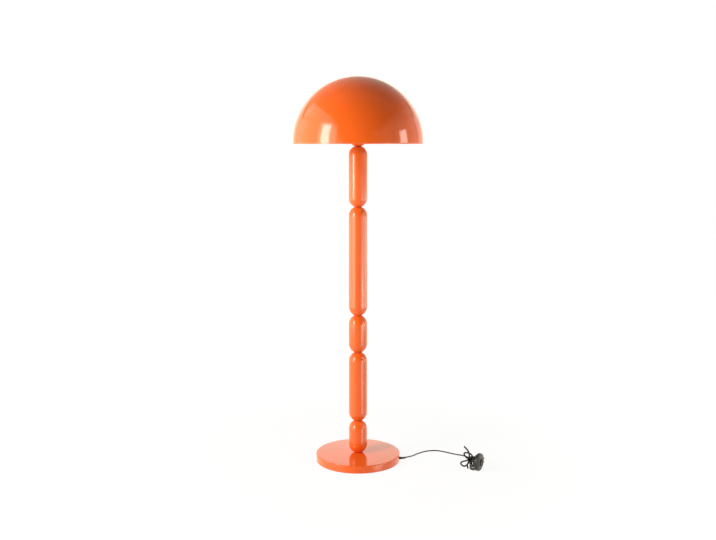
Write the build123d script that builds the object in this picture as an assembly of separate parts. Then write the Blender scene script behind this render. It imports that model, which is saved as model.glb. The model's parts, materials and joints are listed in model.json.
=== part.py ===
from build123d import *
import math
import os

# Floor lamp with a hemispherical metal shade on a stem of stacked round-ended capsules, a weighted disc
# base, and a thin black flex that leaves the base, is folded into a tied hank and carries a round foot
# switch and a flat two-pin plug.
# Millimetres. The origin is the centre of the base's underside on the floor, +Z is up, the front is -Y,
# and the flex leaves the base on the +X side.

# ---------------------------------------------------------------- driving dimensions
FIT = 0.05  # radial clearance of a seated or threaded piece
RUN_GAP = 0.3  # clearance round a piece that moves
PIPE_R = 5.0  # hollow threaded nipples, M10
PIPE_BORE_R = 3.6
FLEX_D = 5.0  # outside diameter of the flex
FLEX_SIDES = 8  # facets of the flex's tube
FLEX_ROLL = 15.0  # turn of the facets about the flex

# base
LAMP_HEIGHT = 1500.0
BASE_R = 166.0
BASE_HEIGHT = 30.0
BASE_WALL = 1.5
BASE_EDGE_R = 4.0  # rounded top edge of the cover
BASE_LIFT = 1.0  # shadow gap under the cover's rim
PAD_THICKNESS = 2.0
PAD_WIDTH = 90.0
PAD_SCREW_GAP = 0.5
PLATE_THICKNESS = 1.5
PLATE_GAP = 3.0
WEIGHT_THICKNESS = 16.0
WEIGHT_SIDE_GAP = 6.0
WEIGHT_RECESS_R = 17.0
WEIGHT_RECESS_DEPTH = 8.0
BOSS_R = 9.0
BOSS_PCD_R = 120.0
SCREW_R = 2.0
SCREW_HEAD_R = 3.8
SCREW_HEAD_HEIGHT = 1.2
SCREW_LENGTH = 8.0
WASHER_R = 13.0
WASHER_THICKNESS = 1.5
NUT_FLATS = 17.0
NUT_THICKNESS = 5.0

# where the flex leaves the base
EXIT_AZIMUTH = -3.0
EXIT_HEIGHT = 7.5
GROMMET_NECK_R = 5.4
GROMMET_FLANGE_R = 7.0
GROMMET_FLANGE = 2.0
SLEEVE_ROOT_R = 4.6
SLEEVE_TIP_R = 3.3
SLEEVE_BEND_R = 34.0
SLEEVE_TURN = 40.0
FLEX_TURN_R = 7.0  # the flex's turn up into the stem
CLIP_PAD_GAP = 0.5  # from the flex clip to the foam ring
CLIP_LENGTH = 12.0
CLIP_WIDTH = 18.0
CLIP_FLOOR = 1.2

# stem: capsule bodies from the base up, the last one inside the shade
STEM_R = 36.0
STEM_WALL = 1.6
NECK_R = 16.0
SEAM_R = 13.5  # washer between two capsules
SEAM = 2.0
CAPSULE_SHARES = [128.0, 273.0, 145.0, 421.0, 228.0]  # lengths of the five capsules below the shade, in proportion
TOP_CAPSULE = 96.0  # the capsule inside the shade
BUSH_SPIGOT_R = 11.0
BUSH_FLANGE_R = 14.0
BUSH_LENGTH = 14.0
NIPPLE_LENGTH = 28.0
NIPPLE_ABOVE_STEM = 12.0

# shade
SHADE_R = 250.0
SHADE_SKIRT = 5.0
SHADE_WALL = 1.2
RIM_ABOVE_JOINT = 8.0  # rim above the foot of the capsule inside the shade
LUG_WIDTH = 18.0
LUG_REACH = 20.0
LUG_THICKNESS = 3.0
LUG_GAP = 0.2
ARM_COUNT = 3
ARM_WIDTH = 14.0
ARM_THICKNESS = 1.5
ARM_END_GAP = 5.0
ARM_AZIMUTH = 90.0
HUB_R = 30.0
ARM_SCREW_R = 2.0

# lamp holder
HOLDER_R = 20.0
HOLDER_CAP_HEIGHT = 22.0
HOLDER_CAP_TOP_R = 14.0
HOLDER_BODY_HEIGHT = 36.0
HOLDER_WALL = 2.4
HOLDER_SHOULDER_R = 24.0
HOLDER_SHOULDER = 3.0
HOLDER_SHOULDER_AT = 4.0
INSERT_HEIGHT = 9.0
SHADE_RING_R = 28.5
SHADE_RING_HEIGHT = 7.0
SHADE_RING_LIP = 2.0

# bulb
BULB_CAP_R = 13.1
BULB_CAP_LENGTH = 24.0
BULB_TIP = 2.0
SCREW_SHELL_WALL = 0.5
SCREW_SHELL_GAP = 0.35
BULB_BODY_LENGTH = 28.0
BULB_R = 30.0
BULB_NECK_R = 21.0
GLOBE_WALL = 1.0

# foot switch
SWITCH_R = 34.0
SWITCH_HALF = 6.0  # depth of the base half, and of the cover half at its edge
SWITCH_CROWN = 4.0
SWITCH_WALL = 2.0
SWITCH_EDGE_R = 2.0
SWITCH_CENTRE = (465.2, -129.0)
SWITCH_FACING = 31.0  # the face looks along +X, turned this much towards -Y
BUTTON_R = 13.0
BUTTON_PROUD = 3.0
BUTTON_TRAVEL = 2.5
BUTTON_DEPTH = 10.0
BUTTON_SKIRT_R = 15.5
BUTTON_SKIRT = 2.0
ENTRY_ANGLE = 8.0  # the flex entries point this much below the horizontal
ENTRY_SPACING = 13.0
GLAND_LENGTH = 8.0
GLAND_ROOT_R = 4.1
GLAND_TIP_R = 3.2
SWITCH_SCREW_PCD_R = 25.0
SWITCH_SCREW_R = 1.5
SWITCH_BLOCK_R = 12.0
SWITCH_BLOCK_HEIGHT = 2.5

# plug
PLUG_AT = (484.0, 10.0)  # middle of the pin face, which looks to the far side
PLUG_WIDTH = 35.3
PLUG_THICKNESS = 13.7
PLUG_FACE_LENGTH = 9.0
PLUG_BODY_LENGTH = 28.0
PLUG_REAR_WIDTH = 16.0
PLUG_REAR_THICKNESS = 11.0
PLUG_SLEEVE = 20.0
PLUG_SLEEVE_ROOT_R = 4.8
PIN_R = 2.0
PIN_LENGTH = 19.0
PIN_SPACING = 18.6
PIN_SEAT = 6.0
PIN_ROOT_R = 1.6  # root of a pin inside the plug

# the hank: two loops on the lamp's side and two on the plug's side, piled and drawn in by the tie
HANK_NEAR = (446.2, -115.0)  # centre of the end turns nearest the camera side
HANK_FAR = (445.6, -64.0)  # centre of the end turns at the far side
HANK_TURN_R = 12.0
HANK_STEP = 6.2  # one layer
WAIST_HALF = 2.9  # half the spacing of the two runs under the tie
WAIST_LIFT = 5.0  # the tie under the hank lifts it
TAIL_RUN = 14.0  # last run of the tail, in line with the plug
LOOSENESS = [0.0, 1.2, 0.5, 1.6, 0.9]  # how much wider each end turn is than the tightest
TIE_D = 4.4
TIE_GAP = 0.4
TIE_FLOOR_GAP = 0.2
KNOT_R = 6.0

# strands of the tie, chosen by hand: left and far of the knot, and height as a share of the knot's own
TIE_STRANDS = [
    [
        (1.5, 1.0, 1.0),
        (9.0, 8.0, 1.05),
        (13.5, 19.0, 1.14),
        (16.1, 29.5, 1.28),
        (15.6, 39.5, 1.35),
        (8.5, 45.5, 1.35),
        (-1.0, 45.5, 1.31),
        (-8.0, 40.0, 1.28),
        (-12.5, 31.0, 1.24),
        (-14.0, 20.0, 1.2),
    ],
    [
        (0.5, -0.5, 0.97),
        (9.0, -1.0, 0.8),
        (18.0, 13.6, 0.53),
        (26.6, 29.1, 0.27),
        (32.0, 27.5, 0.07),
        (29.5, 15.2, 0.0),
        (22.7, 0.6, 0.0),
        (14.9, 0.6, 0.0),
        (8.2, 8.5, 0.05),
    ],
    [(0.2, -0.4, 0.9), (2.5, -3.5, 0.6), (7.5, -2.5, 0.32), (8.4, -9.0, 0.1), (7.6, -22.5, 0.0)],
    [(-0.5, 1.0, 1.03), (-1.9, 15.3, 1.14), (-3.8, 28.3, 1.35), (-2.1, 41.4, 1.57), (5.0, 49.0, 1.85), (13.1, 57.7, 2.07)],
]

# route of the lead on the floor, chosen by hand: from the grommet's tip to the hank
FLOOR = FLEX_D / 2
LEAD_ROUTE = [
    (218.0, 26.0, 3.6),
    (243.0, 60.0, FLOOR),
    (279.0, 90.0, FLOOR),
    (322.0, 97.5, FLOOR),
    (356.0, 77.0, FLOOR),
    (390.0, 51.0, FLOOR),
    (426.0, 33.0, FLOOR),
    (443.0, 13.0, FLOOR),
]
LEAD_FIRST = 14.0  # first run of the lead, in line with the grommet
LEAD_LAST = 24.0  # last run of the lead, in line with the hank

# ---------------------------------------------------------------- levels worked out from the above
PLATE_Z = PAD_THICKNESS
PLATE_TOP = PLATE_Z + PLATE_THICKNESS
COVER_UNDER = BASE_HEIGHT - BASE_WALL
WEIGHT_Z = COVER_UNDER - WEIGHT_THICKNESS
RECESS_TOP = WEIGHT_Z + WEIGHT_RECESS_DEPTH
WASHER_Z = RECESS_TOP - WASHER_THICKNESS
NUT_Z = WASHER_Z - NUT_THICKNESS
BASE_PIPE_Z = NUT_Z - 1.0
WEIGHT_R = BASE_R - BASE_WALL - WEIGHT_SIDE_GAP
PAD_R = BASE_R - BASE_WALL - 2 * PLATE_GAP
PAD_INNER_R = PAD_R - PAD_WIDTH
CLIP_RADIUS = PAD_INNER_R - CLIP_PAD_GAP - CLIP_LENGTH / 2
END_RISE = math.sqrt(STEM_R**2 - NECK_R**2)  # height of a capsule's rounded end
FIRST_FOOT = BASE_HEIGHT + SEAM
LAST_FOOT = LAMP_HEIGHT - SHADE_R - SHADE_SKIRT - RIM_ABOVE_JOINT
CAPSULES_BELOW = LAST_FOOT - FIRST_FOOT - len(CAPSULE_SHARES) * SEAM
CAPSULE_LENGTHS = [CAPSULES_BELOW * share / sum(CAPSULE_SHARES) for share in CAPSULE_SHARES] + [TOP_CAPSULE]


def capsule_levels():
    """Foot of each capsule, from the base up."""
    feet = []
    z = FIRST_FOOT
    for length in CAPSULE_LENGTHS:
        feet.append(z)
        z += length + SEAM
    return feet


CAPSULE_FEET = capsule_levels()
STEM_TOP = CAPSULE_FEET[-1] + CAPSULE_LENGTHS[-1]
RIM_Z = CAPSULE_FEET[-1] + RIM_ABOVE_JOINT
DOME_Z = RIM_Z + SHADE_SKIRT  # centre of the hemisphere
HOLDER_BODY_Z = STEM_TOP + HOLDER_CAP_HEIGHT
HOLDER_MOUTH = HOLDER_BODY_Z + HOLDER_BODY_HEIGHT
SHOULDER_TOP = HOLDER_BODY_Z + HOLDER_SHOULDER_AT + HOLDER_SHOULDER
ARM_TOP = SHOULDER_TOP + ARM_THICKNESS
DOME_INNER_R = SHADE_R - SHADE_WALL
DOME_R_AT_ARMS = math.sqrt(DOME_INNER_R**2 - (SHOULDER_TOP - DOME_Z) ** 2)
LUG_INNER = DOME_R_AT_ARMS - LUG_REACH
ARM_SCREW_AT = DOME_R_AT_ARMS - LUG_REACH / 2 - ARM_END_GAP / 2
BULB_CAP_Z = HOLDER_MOUTH - BULB_CAP_LENGTH


# ---------------------------------------------------------------- helpers
def tube(outer, inner, low, high):
    """A ring about the lamp's axis, or a disc where inner is 0."""
    ring = Cylinder(outer, high - low, align=(Align.CENTER, Align.CENTER, Align.MIN))
    if inner > 0:
        ring -= Cylinder(inner, high - low, align=(Align.CENTER, Align.CENTER, Align.MIN))
    return Pos(0, 0, low) * ring


def turned(*pieces):
    """A solid of revolution about Z from the pieces of a closed outline in the XZ plane."""
    edges = [edge for piece in pieces for edge in piece.edges()]
    return revolve(make_face(Wire(edges)), axis=Axis.Z)


def turned_outline(points):
    """A solid of revolution about Z from straight (radius, z) corners."""
    outline = Polyline(*[(r, 0, z) for r, z in points], close=True)
    return revolve(make_face(outline), axis=Axis.Z)


def on_circle(radius, count, first=0.0):
    """Places for count equal pieces round the axis."""
    return [Rot(0, 0, first + 360.0 * k / count) * Pos(radius, 0, 0) for k in range(count)]


def one(parts):
    """A group of separate solids."""
    return Compound(children=[p for p in parts])


def flex_section(at, along, diameter=FLEX_D):
    """The faceted cross-section of a flex."""
    plane = Plane(origin=at, z_dir=along)
    return plane * RegularPolygon(diameter / 2, FLEX_SIDES, rotation=FLEX_ROLL)


def write(name, shape):
    """One STEP file for one sub-part."""
    shape.label = name
    export_step(shape, os.path.join("parts", name + ".step"))


# ---------------------------------------------------------------- base
def exit_place(radius, height=EXIT_HEIGHT):
    """A frame on the flex's exit: local X points outwards."""
    return Rot(0, 0, EXIT_AZIMUTH) * Pos(radius, 0, height)


def base_cover():
    """Pressed steel pan: rounded top edge, centre hole, side hole for the grommet."""
    outer = tube(BASE_R, 0, BASE_LIFT, BASE_HEIGHT)
    outer = fillet(outer.edges().sort_by(Axis.Z)[-1], BASE_EDGE_R)
    inner = tube(BASE_R - BASE_WALL, 0, BASE_LIFT, COVER_UNDER)
    inner = fillet(inner.edges().sort_by(Axis.Z)[-1], BASE_EDGE_R - BASE_WALL)
    cover = outer - inner - tube(PIPE_R + FIT, 0, 0, BASE_HEIGHT)
    hole = exit_place(BASE_R) * Rot(0, 90, 0) * Cylinder(GROMMET_NECK_R + FIT, 6 * BASE_WALL)
    return cover - hole


def base_weight():
    """Cast iron disc with a recess for the nut and three screw bosses."""
    weight = tube(WEIGHT_R, PIPE_R + FIT, WEIGHT_Z, COVER_UNDER)
    weight -= tube(WEIGHT_RECESS_R, 0, WEIGHT_Z, RECESS_TOP)
    for place in on_circle(BOSS_PCD_R, 3, 60):
        weight += place * tube(BOSS_R, 0, PLATE_TOP, WEIGHT_Z)
    for place in on_circle(BOSS_PCD_R, 3, 60):
        weight -= place * tube(SCREW_R + FIT, 0, PLATE_TOP, PLATE_TOP + SCREW_LENGTH + 1)
    return weight


def base_plate():
    """Steel plate that closes the base from below."""
    plate = tube(BASE_R - BASE_WALL - PLATE_GAP, 0, PLATE_Z, PLATE_TOP)
    for place in on_circle(BOSS_PCD_R, 3, 60):
        plate -= place * tube(SCREW_R + RUN_GAP, 0, PLATE_Z, PLATE_TOP)
    return plate


def base_pad():
    """Ring of soft foam that the lamp stands on."""
    pad = tube(PAD_R, PAD_INNER_R, 0, PAD_THICKNESS)
    for place in on_circle(BOSS_PCD_R, 3, 60):
        pad -= place * tube(SCREW_HEAD_R + PAD_SCREW_GAP, 0, 0, PAD_THICKNESS)
    return pad


def base_screws():
    """Three pan-head screws that hold the plate to the weight."""
    head = tube(SCREW_HEAD_R, 0, PLATE_Z - SCREW_HEAD_HEIGHT, PLATE_Z)
    shank = tube(SCREW_R, 0, PLATE_Z, PLATE_TOP + SCREW_LENGTH)
    return one([place * (head + shank) for place in on_circle(BOSS_PCD_R, 3, 60)])


def base_nut():
    """Thin hexagon nut on the lowest nipple."""
    hexagon = Plane.XY.offset(NUT_Z) * RegularPolygon(NUT_FLATS / 2, 6, major_radius=False)
    return extrude(hexagon, NUT_THICKNESS) - tube(PIPE_R + FIT, 0, NUT_Z, WASHER_Z)


def cord_clip():
    """Clip under the weight that holds the flex on its way to the grommet."""
    low = EXIT_HEIGHT - FLEX_D / 2 - CLIP_FLOOR
    block = Box(CLIP_LENGTH, CLIP_WIDTH, WEIGHT_Z - low, align=(Align.CENTER, Align.CENTER, Align.MIN))
    slot = Box(CLIP_LENGTH, FLEX_D + 2 * FIT, WEIGHT_Z - EXIT_HEIGHT, align=(Align.CENTER, Align.CENTER, Align.MIN))
    groove = Rot(0, 90, 0) * Cylinder(FLEX_D / 2 + FIT, CLIP_LENGTH)
    block = exit_place(CLIP_RADIUS, low) * block
    return block - exit_place(CLIP_RADIUS) * slot - exit_place(CLIP_RADIUS) * groove


def sleeve_path():
    """The bend of the grommet's sleeve, in the floor's plane at the exit's height."""
    start = exit_place(BASE_R + GROMMET_FLANGE).position
    heading = math.radians(EXIT_AZIMUTH)
    outward = Vector(math.cos(heading), math.sin(heading), 0)
    left = Vector(-outward.Y, outward.X, 0)
    turn = math.radians(SLEEVE_TURN)
    end = start + outward * SLEEVE_BEND_R * math.sin(turn) + left * SLEEVE_BEND_R * (1 - math.cos(turn))
    return TangentArc(start, end, tangent=outward)


def sleeve_tip():
    """Where the flex leaves the grommet, and which way."""
    path = sleeve_path()
    return path @ 1, path % 1


def cord_grommet():
    """Rubber grommet in the cover's wall, with a tapered sleeve bent with the flex."""
    path = sleeve_path()
    steps = 4
    rings = []
    for k in range(steps + 1):
        share = k / steps
        radius = SLEEVE_ROOT_R + (SLEEVE_TIP_R - SLEEVE_ROOT_R) * share
        rings.append(Plane(origin=path @ share, z_dir=path % share) * Circle(radius))
    sleeve = loft(rings)
    bore = sweep(Plane(origin=path @ 0, z_dir=path % 0) * Circle(FLEX_D / 2 + FIT), path=path)
    wall_in = BASE_R - BASE_WALL - 0.4
    wall_out = BASE_R + FIT
    plug = turned_outline(
        [
            (FLEX_D / 2 + FIT, wall_in - GROMMET_FLANGE),
            (GROMMET_FLANGE_R, wall_in - GROMMET_FLANGE),
            (GROMMET_FLANGE_R, wall_in),
            (GROMMET_NECK_R, wall_in),
            (GROMMET_NECK_R, wall_out),
            (GROMMET_FLANGE_R, wall_out),
            (GROMMET_FLANGE_R, BASE_R + GROMMET_FLANGE),
            (FLEX_D / 2 + FIT, BASE_R + GROMMET_FLANGE),
        ]
    )
    return exit_place(0) * Rot(0, 90, 0) * plug + (sleeve - bore)


def inner_flex():
    """The flex inside the lamp: along the base, up the nipples and to the lamp holder."""
    tip, _ = sleeve_tip()
    bend = sleeve_path()
    heading = math.radians(EXIT_AZIMUTH)
    outward = Vector(math.cos(heading), math.sin(heading), 0)
    foot = outward * FLEX_TURN_R + Vector(0, 0, EXIT_HEIGHT)
    rise = Vector(0, 0, EXIT_HEIGHT + FLEX_TURN_R)
    top = Vector(0, 0, HOLDER_BODY_Z - 2)
    edges = [
        bend,
        Line(bend @ 0, foot),
        TangentArc(foot, rise, tangent=outward * -1),
        Line(rise, top),
    ]
    path = Wire(edges)
    section = Plane(origin=tip, z_dir=bend % 1) * RegularPolygon(FLEX_D / 2, FLEX_SIDES)
    return sweep(section, path=path)


# ---------------------------------------------------------------- stem
def capsule_shell(foot, length):
    """One hollow capsule: a tube with rounded ends that stop at a flat neck, open for its bushes."""
    top = foot + length
    low_centre = foot + END_RISE
    high_centre = top - END_RISE
    inner_r = STEM_R - STEM_WALL
    inner_neck = math.sqrt(inner_r**2 - (END_RISE - STEM_WALL) ** 2)
    half = math.radians((math.degrees(math.asin(NECK_R / STEM_R)) + 90) / 2)
    inner_half = math.radians((math.degrees(math.asin(inner_neck / inner_r)) + 90) / 2)

    def on_end(radius, angle, centre, side):
        return (radius * math.sin(angle), 0, centre + side * radius * math.cos(angle))

    outer_low = ThreePointArc((NECK_R, 0, foot), on_end(STEM_R, half, low_centre, -1), (STEM_R, 0, low_centre))
    outer_side = Line((STEM_R, 0, low_centre), (STEM_R, 0, high_centre))
    outer_high = ThreePointArc((STEM_R, 0, high_centre), on_end(STEM_R, half, high_centre, 1), (NECK_R, 0, top))
    top_face = Polyline(
        (NECK_R, 0, top), (BUSH_SPIGOT_R, 0, top), (BUSH_SPIGOT_R, 0, top - STEM_WALL), (inner_neck, 0, top - STEM_WALL)
    )
    inner_high = ThreePointArc(
        (inner_neck, 0, top - STEM_WALL), on_end(inner_r, inner_half, high_centre, 1), (inner_r, 0, high_centre)
    )
    inner_side = Line((inner_r, 0, high_centre), (inner_r, 0, low_centre))
    inner_low = ThreePointArc(
        (inner_r, 0, low_centre), on_end(inner_r, inner_half, low_centre, -1), (inner_neck, 0, foot + STEM_WALL)
    )
    foot_face = Polyline(
        (inner_neck, 0, foot + STEM_WALL), (BUSH_SPIGOT_R, 0, foot + STEM_WALL), (BUSH_SPIGOT_R, 0, foot), (NECK_R, 0, foot)
    )
    return turned(outer_low, outer_side, outer_high, top_face, inner_high, inner_side, inner_low, foot_face)


def bush(end, inwards):
    """Threaded steel bush in a capsule's end; inwards is +1 at a foot and -1 at a top."""
    spigot = sorted((end, end + inwards * STEM_WALL))
    flange = sorted((end + inwards * STEM_WALL, end + inwards * BUSH_LENGTH))
    return tube(BUSH_SPIGOT_R - FIT, PIPE_R + FIT, *spigot) + tube(BUSH_FLANGE_R, PIPE_R + FIT, *flange)


def capsule_bushes():
    """Two bushes for every capsule."""
    bushes = []
    for foot, length in zip(CAPSULE_FEET, CAPSULE_LENGTHS):
        bushes.append(bush(foot, 1))
        bushes.append(bush(foot + length, -1))
    return one(bushes)


def joint_nipples():
    """Hollow threaded nipples: one up from the base, one through each joint, one into the lamp holder."""
    nipples = [tube(PIPE_R, PIPE_BORE_R, BASE_PIPE_Z, CAPSULE_FEET[0] + NIPPLE_LENGTH / 2)]
    for foot in CAPSULE_FEET[1:]:
        middle = foot - SEAM / 2
        nipples.append(tube(PIPE_R, PIPE_BORE_R, middle - NIPPLE_LENGTH / 2, middle + NIPPLE_LENGTH / 2))
    nipples.append(tube(PIPE_R, PIPE_BORE_R, STEM_TOP - NIPPLE_LENGTH / 2, STEM_TOP + NIPPLE_ABOVE_STEM))
    return one(nipples)


def joint_washers():
    """A washer under every capsule, which leaves the dark line at each joint."""
    return one([tube(SEAM_R, PIPE_R + FIT, foot - SEAM, foot) for foot in CAPSULE_FEET])


# ---------------------------------------------------------------- lamp holder and bulb
def holder_cap():
    """Cone-shaped cap of the lamp holder, screwed on the top nipple."""
    outer = [
        (PIPE_R + FIT, STEM_TOP),
        (HOLDER_CAP_TOP_R, STEM_TOP),
        (HOLDER_R, STEM_TOP + HOLDER_CAP_HEIGHT * 0.6),
        (HOLDER_R, HOLDER_BODY_Z),
        (HOLDER_R - HOLDER_WALL, HOLDER_BODY_Z),
        (HOLDER_R - HOLDER_WALL, STEM_TOP + NIPPLE_ABOVE_STEM + 2),
        (PIPE_R + FIT, STEM_TOP + NIPPLE_ABOVE_STEM),
    ]
    return turned_outline(outer)


def holder_body():
    """Outer sleeve of the lamp holder with the shoulder that carries the spider."""
    body = tube(HOLDER_R, HOLDER_R - HOLDER_WALL, HOLDER_BODY_Z, HOLDER_MOUTH)
    return body + tube(HOLDER_SHOULDER_R, HOLDER_R - HOLDER_WALL, SHOULDER_TOP - HOLDER_SHOULDER, SHOULDER_TOP)


def holder_insert():
    """Ceramic insert with the terminals, under the screw shell."""
    insert = tube(HOLDER_R - HOLDER_WALL - FIT, 0, HOLDER_BODY_Z, HOLDER_BODY_Z + INSERT_HEIGHT)
    return insert - tube(BULB_CAP_R / 2, 0, HOLDER_BODY_Z + INSERT_HEIGHT - BULB_TIP, HOLDER_BODY_Z + INSERT_HEIGHT)


def screw_shell():
    """Brass screw shell that takes the bulb's cap, with its flange on the insert."""
    inner = BULB_CAP_R + SCREW_SHELL_GAP
    outer = inner + SCREW_SHELL_WALL
    low = HOLDER_BODY_Z + INSERT_HEIGHT
    shell = tube(outer, inner, low, HOLDER_MOUTH - 1.0)
    return shell + tube(HOLDER_R - HOLDER_WALL - FIT, inner, low, low + SCREW_SHELL_WALL * 2)


def shade_ring():
    """Threaded ring that clamps the spider on the holder's shoulder."""
    ring = tube(SHADE_RING_R, HOLDER_R + FIT, ARM_TOP, ARM_TOP + SHADE_RING_LIP)
    return ring + tube(HOLDER_R + 3.2, HOLDER_R + FIT, ARM_TOP, ARM_TOP + SHADE_RING_HEIGHT)


def bulb_cap():
    """Screw cap of the bulb with its contact tip."""
    low = HOLDER_BODY_Z + INSERT_HEIGHT + RUN_GAP
    tip = tube(BULB_CAP_R * 0.4, 0, low, low + BULB_TIP)
    cap = tube(BULB_CAP_R, 0, low + BULB_TIP, BULB_CAP_Z + BULB_CAP_LENGTH)
    cap = chamfer(cap.edges().sort_by(Axis.Z)[0], 1.5)
    return cap + tip


def bulb_body():
    """White cone between the bulb's cap and its globe."""
    foot = HOLDER_MOUTH
    top = foot + BULB_BODY_LENGTH
    return turned_outline([(0, foot), (BULB_CAP_R, foot), (BULB_NECK_R, top - 6), (BULB_NECK_R + 4, top), (0, top)])


def bulb_globe():
    """Opal globe: part of a sphere, open at its foot."""
    foot = HOLDER_MOUTH + BULB_BODY_LENGTH
    neck = BULB_NECK_R + 4
    centre = foot + math.sqrt(BULB_R**2 - neck**2)
    ball = Pos(0, 0, centre) * (Sphere(BULB_R) - Sphere(BULB_R - GLOBE_WALL))
    return ball & tube(BULB_R + 1, 0, foot, centre + BULB_R + 1)


# ---------------------------------------------------------------- shade
def shade_dome():
    """Spun steel hemisphere with a short straight skirt."""
    quarter = math.sqrt(0.5)
    outer_side = Line((SHADE_R, 0, RIM_Z), (SHADE_R, 0, DOME_Z))
    outer = ThreePointArc(
        (SHADE_R, 0, DOME_Z), (SHADE_R * quarter, 0, DOME_Z + SHADE_R * quarter), (0, 0, DOME_Z + SHADE_R)
    )
    crown = Line((0, 0, DOME_Z + SHADE_R), (0, 0, DOME_Z + DOME_INNER_R))
    inner = ThreePointArc(
        (0, 0, DOME_Z + DOME_INNER_R),
        (DOME_INNER_R * quarter, 0, DOME_Z + DOME_INNER_R * quarter),
        (DOME_INNER_R, 0, DOME_Z),
    )
    inner_side = Polyline((DOME_INNER_R, 0, DOME_Z), (DOME_INNER_R, 0, RIM_Z), (SHADE_R, 0, RIM_Z))
    return turned(outer_side, outer, crown, inner, inner_side)


def arm_places():
    """Frames of the spider's arms."""
    return [Rot(0, 0, ARM_AZIMUTH + 360.0 * k / ARM_COUNT) for k in range(ARM_COUNT)]


def shade_lugs():
    """Tabs welded inside the dome, whose ends follow its wall."""
    tab = Pos(LUG_INNER, 0, SHOULDER_TOP - LUG_THICKNESS) * Box(
        2 * LUG_REACH, LUG_WIDTH, LUG_THICKNESS, align=(Align.MIN, Align.CENTER, Align.MIN)
    )
    tab = tab & (Pos(0, 0, DOME_Z) * Sphere(DOME_INNER_R - LUG_GAP))
    tab -= Pos(ARM_SCREW_AT, 0, 0) * tube(ARM_SCREW_R + FIT, 0, SHOULDER_TOP - LUG_THICKNESS, SHOULDER_TOP)
    return one([place * tab for place in arm_places()])


def shade_spider():
    """Hub on the lamp holder with flat arms out to the tabs."""
    spider = tube(HUB_R, HOLDER_R + FIT, SHOULDER_TOP, ARM_TOP)
    start = (HOLDER_R + HUB_R) / 2
    end = DOME_R_AT_ARMS - ARM_END_GAP
    arm = Pos(start, 0, SHOULDER_TOP) * Box(
        end - start, ARM_WIDTH, ARM_THICKNESS, align=(Align.MIN, Align.CENTER, Align.MIN)
    )
    for place in arm_places():
        spider += place * arm
    for place in arm_places():
        spider -= place * Pos(ARM_SCREW_AT, 0, 0) * tube(ARM_SCREW_R + FIT, 0, SHOULDER_TOP, ARM_TOP)
    return spider


def spider_screws():
    """A screw down through each arm's end."""
    low = SHOULDER_TOP - LUG_THICKNESS - NUT_THICKNESS
    shank = tube(ARM_SCREW_R, 0, low, ARM_TOP)
    head = tube(2 * ARM_SCREW_R, 0, ARM_TOP, ARM_TOP + ARM_SCREW_R)
    return one([place * Pos(ARM_SCREW_AT, 0, 0) * (shank + head) for place in arm_places()])


def spider_nuts():
    """The nut under each tab."""
    low = SHOULDER_TOP - LUG_THICKNESS - 1.6 * ARM_SCREW_R
    hexagon = Plane.XY.offset(low) * RegularPolygon(1.75 * ARM_SCREW_R, 6, major_radius=False)
    nut = extrude(hexagon, 1.6 * ARM_SCREW_R) - tube(ARM_SCREW_R + FIT, 0, low, low + 1.6 * ARM_SCREW_R)
    return one([place * Pos(ARM_SCREW_AT, 0, 0) * nut for place in arm_places()])


# ---------------------------------------------------------------- foot switch, standing on its edge
def switch_plane():
    """The switch's own frame: Z is the way its face looks, X is level and points to the far side."""
    facing = math.radians(SWITCH_FACING)
    normal = Vector(math.cos(facing), -math.sin(facing), 0)
    level = Vector(math.sin(facing), math.cos(facing), 0)
    return Plane(origin=(SWITCH_CENTRE[0], SWITCH_CENTRE[1], SWITCH_R), x_dir=level, z_dir=normal)


def entry_places():
    """The two flex entries in the switch's own frame, lower one first: local Z points out of the rim."""
    places = []
    for side in (-1, 1):
        # the frame's Y points up or down: the entries lie below the far end either way
        down = -1.0 if switch_plane().y_dir.Z > 0 else 1.0
        angle = math.radians(ENTRY_ANGLE)
        out = Vector(math.cos(angle), down * math.sin(angle), 0)
        across = Vector(math.sin(angle), -down * math.cos(angle), 0)
        origin = across * (side * ENTRY_SPACING / 2)
        places.append(Plane(origin=origin, x_dir=(0, 0, 1), z_dir=out))
    return places


def rim_depth():
    """Distance from the switch's middle to its rim along an entry."""
    return math.sqrt(SWITCH_R**2 - (ENTRY_SPACING / 2) ** 2)


def entry_holes():
    """Clearance holes for the two glands."""
    return [
        place * Pos(0, 0, rim_depth() - 10) * Cylinder(GLAND_ROOT_R + FIT, 20, align=(Align.CENTER, Align.CENTER, Align.MIN))
        for place in entry_places()
    ]


def switch_base():
    """Back half of the housing."""
    shell = tube(SWITCH_R, 0, -SWITCH_HALF, 0)
    shell = fillet(shell.edges().sort_by(Axis.Z)[0], SWITCH_EDGE_R)
    shell -= tube(SWITCH_R - SWITCH_WALL, 0, -SWITCH_HALF + SWITCH_WALL, 0)
    for place in on_circle(SWITCH_SCREW_PCD_R, 3, 45):
        shell += place * tube(2 * SWITCH_SCREW_R, 0, -SWITCH_HALF + SWITCH_WALL, 0)
    for place in on_circle(SWITCH_SCREW_PCD_R, 3, 45):
        shell -= place * tube(SWITCH_SCREW_R + FIT, 0, -SWITCH_HALF, 0)
    for hole in entry_holes():
        shell -= hole
    return switch_plane() * shell


def switch_cover():
    """Front half of the housing: low crown, raised collar round the button."""
    top = SWITCH_HALF + SWITCH_CROWN
    bore = BUTTON_R + RUN_GAP
    wall = SWITCH_WALL
    shell = turned_outline(
        [
            (SWITCH_R, 0),
            (SWITCH_R, SWITCH_HALF - SWITCH_EDGE_R),
            (SWITCH_R - SWITCH_EDGE_R, SWITCH_HALF),
            (BUTTON_R + 8, top - 0.6),
            (BUTTON_R + 4, top),
            (bore, top),
            (bore, top - wall),
            (BUTTON_R + 8, top - wall - 0.6),
            (SWITCH_R - wall, SWITCH_HALF - wall),
            (SWITCH_R - wall, 0),
        ]
    )
    for hole in entry_holes():
        shell -= hole
    return switch_plane() * shell


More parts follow.
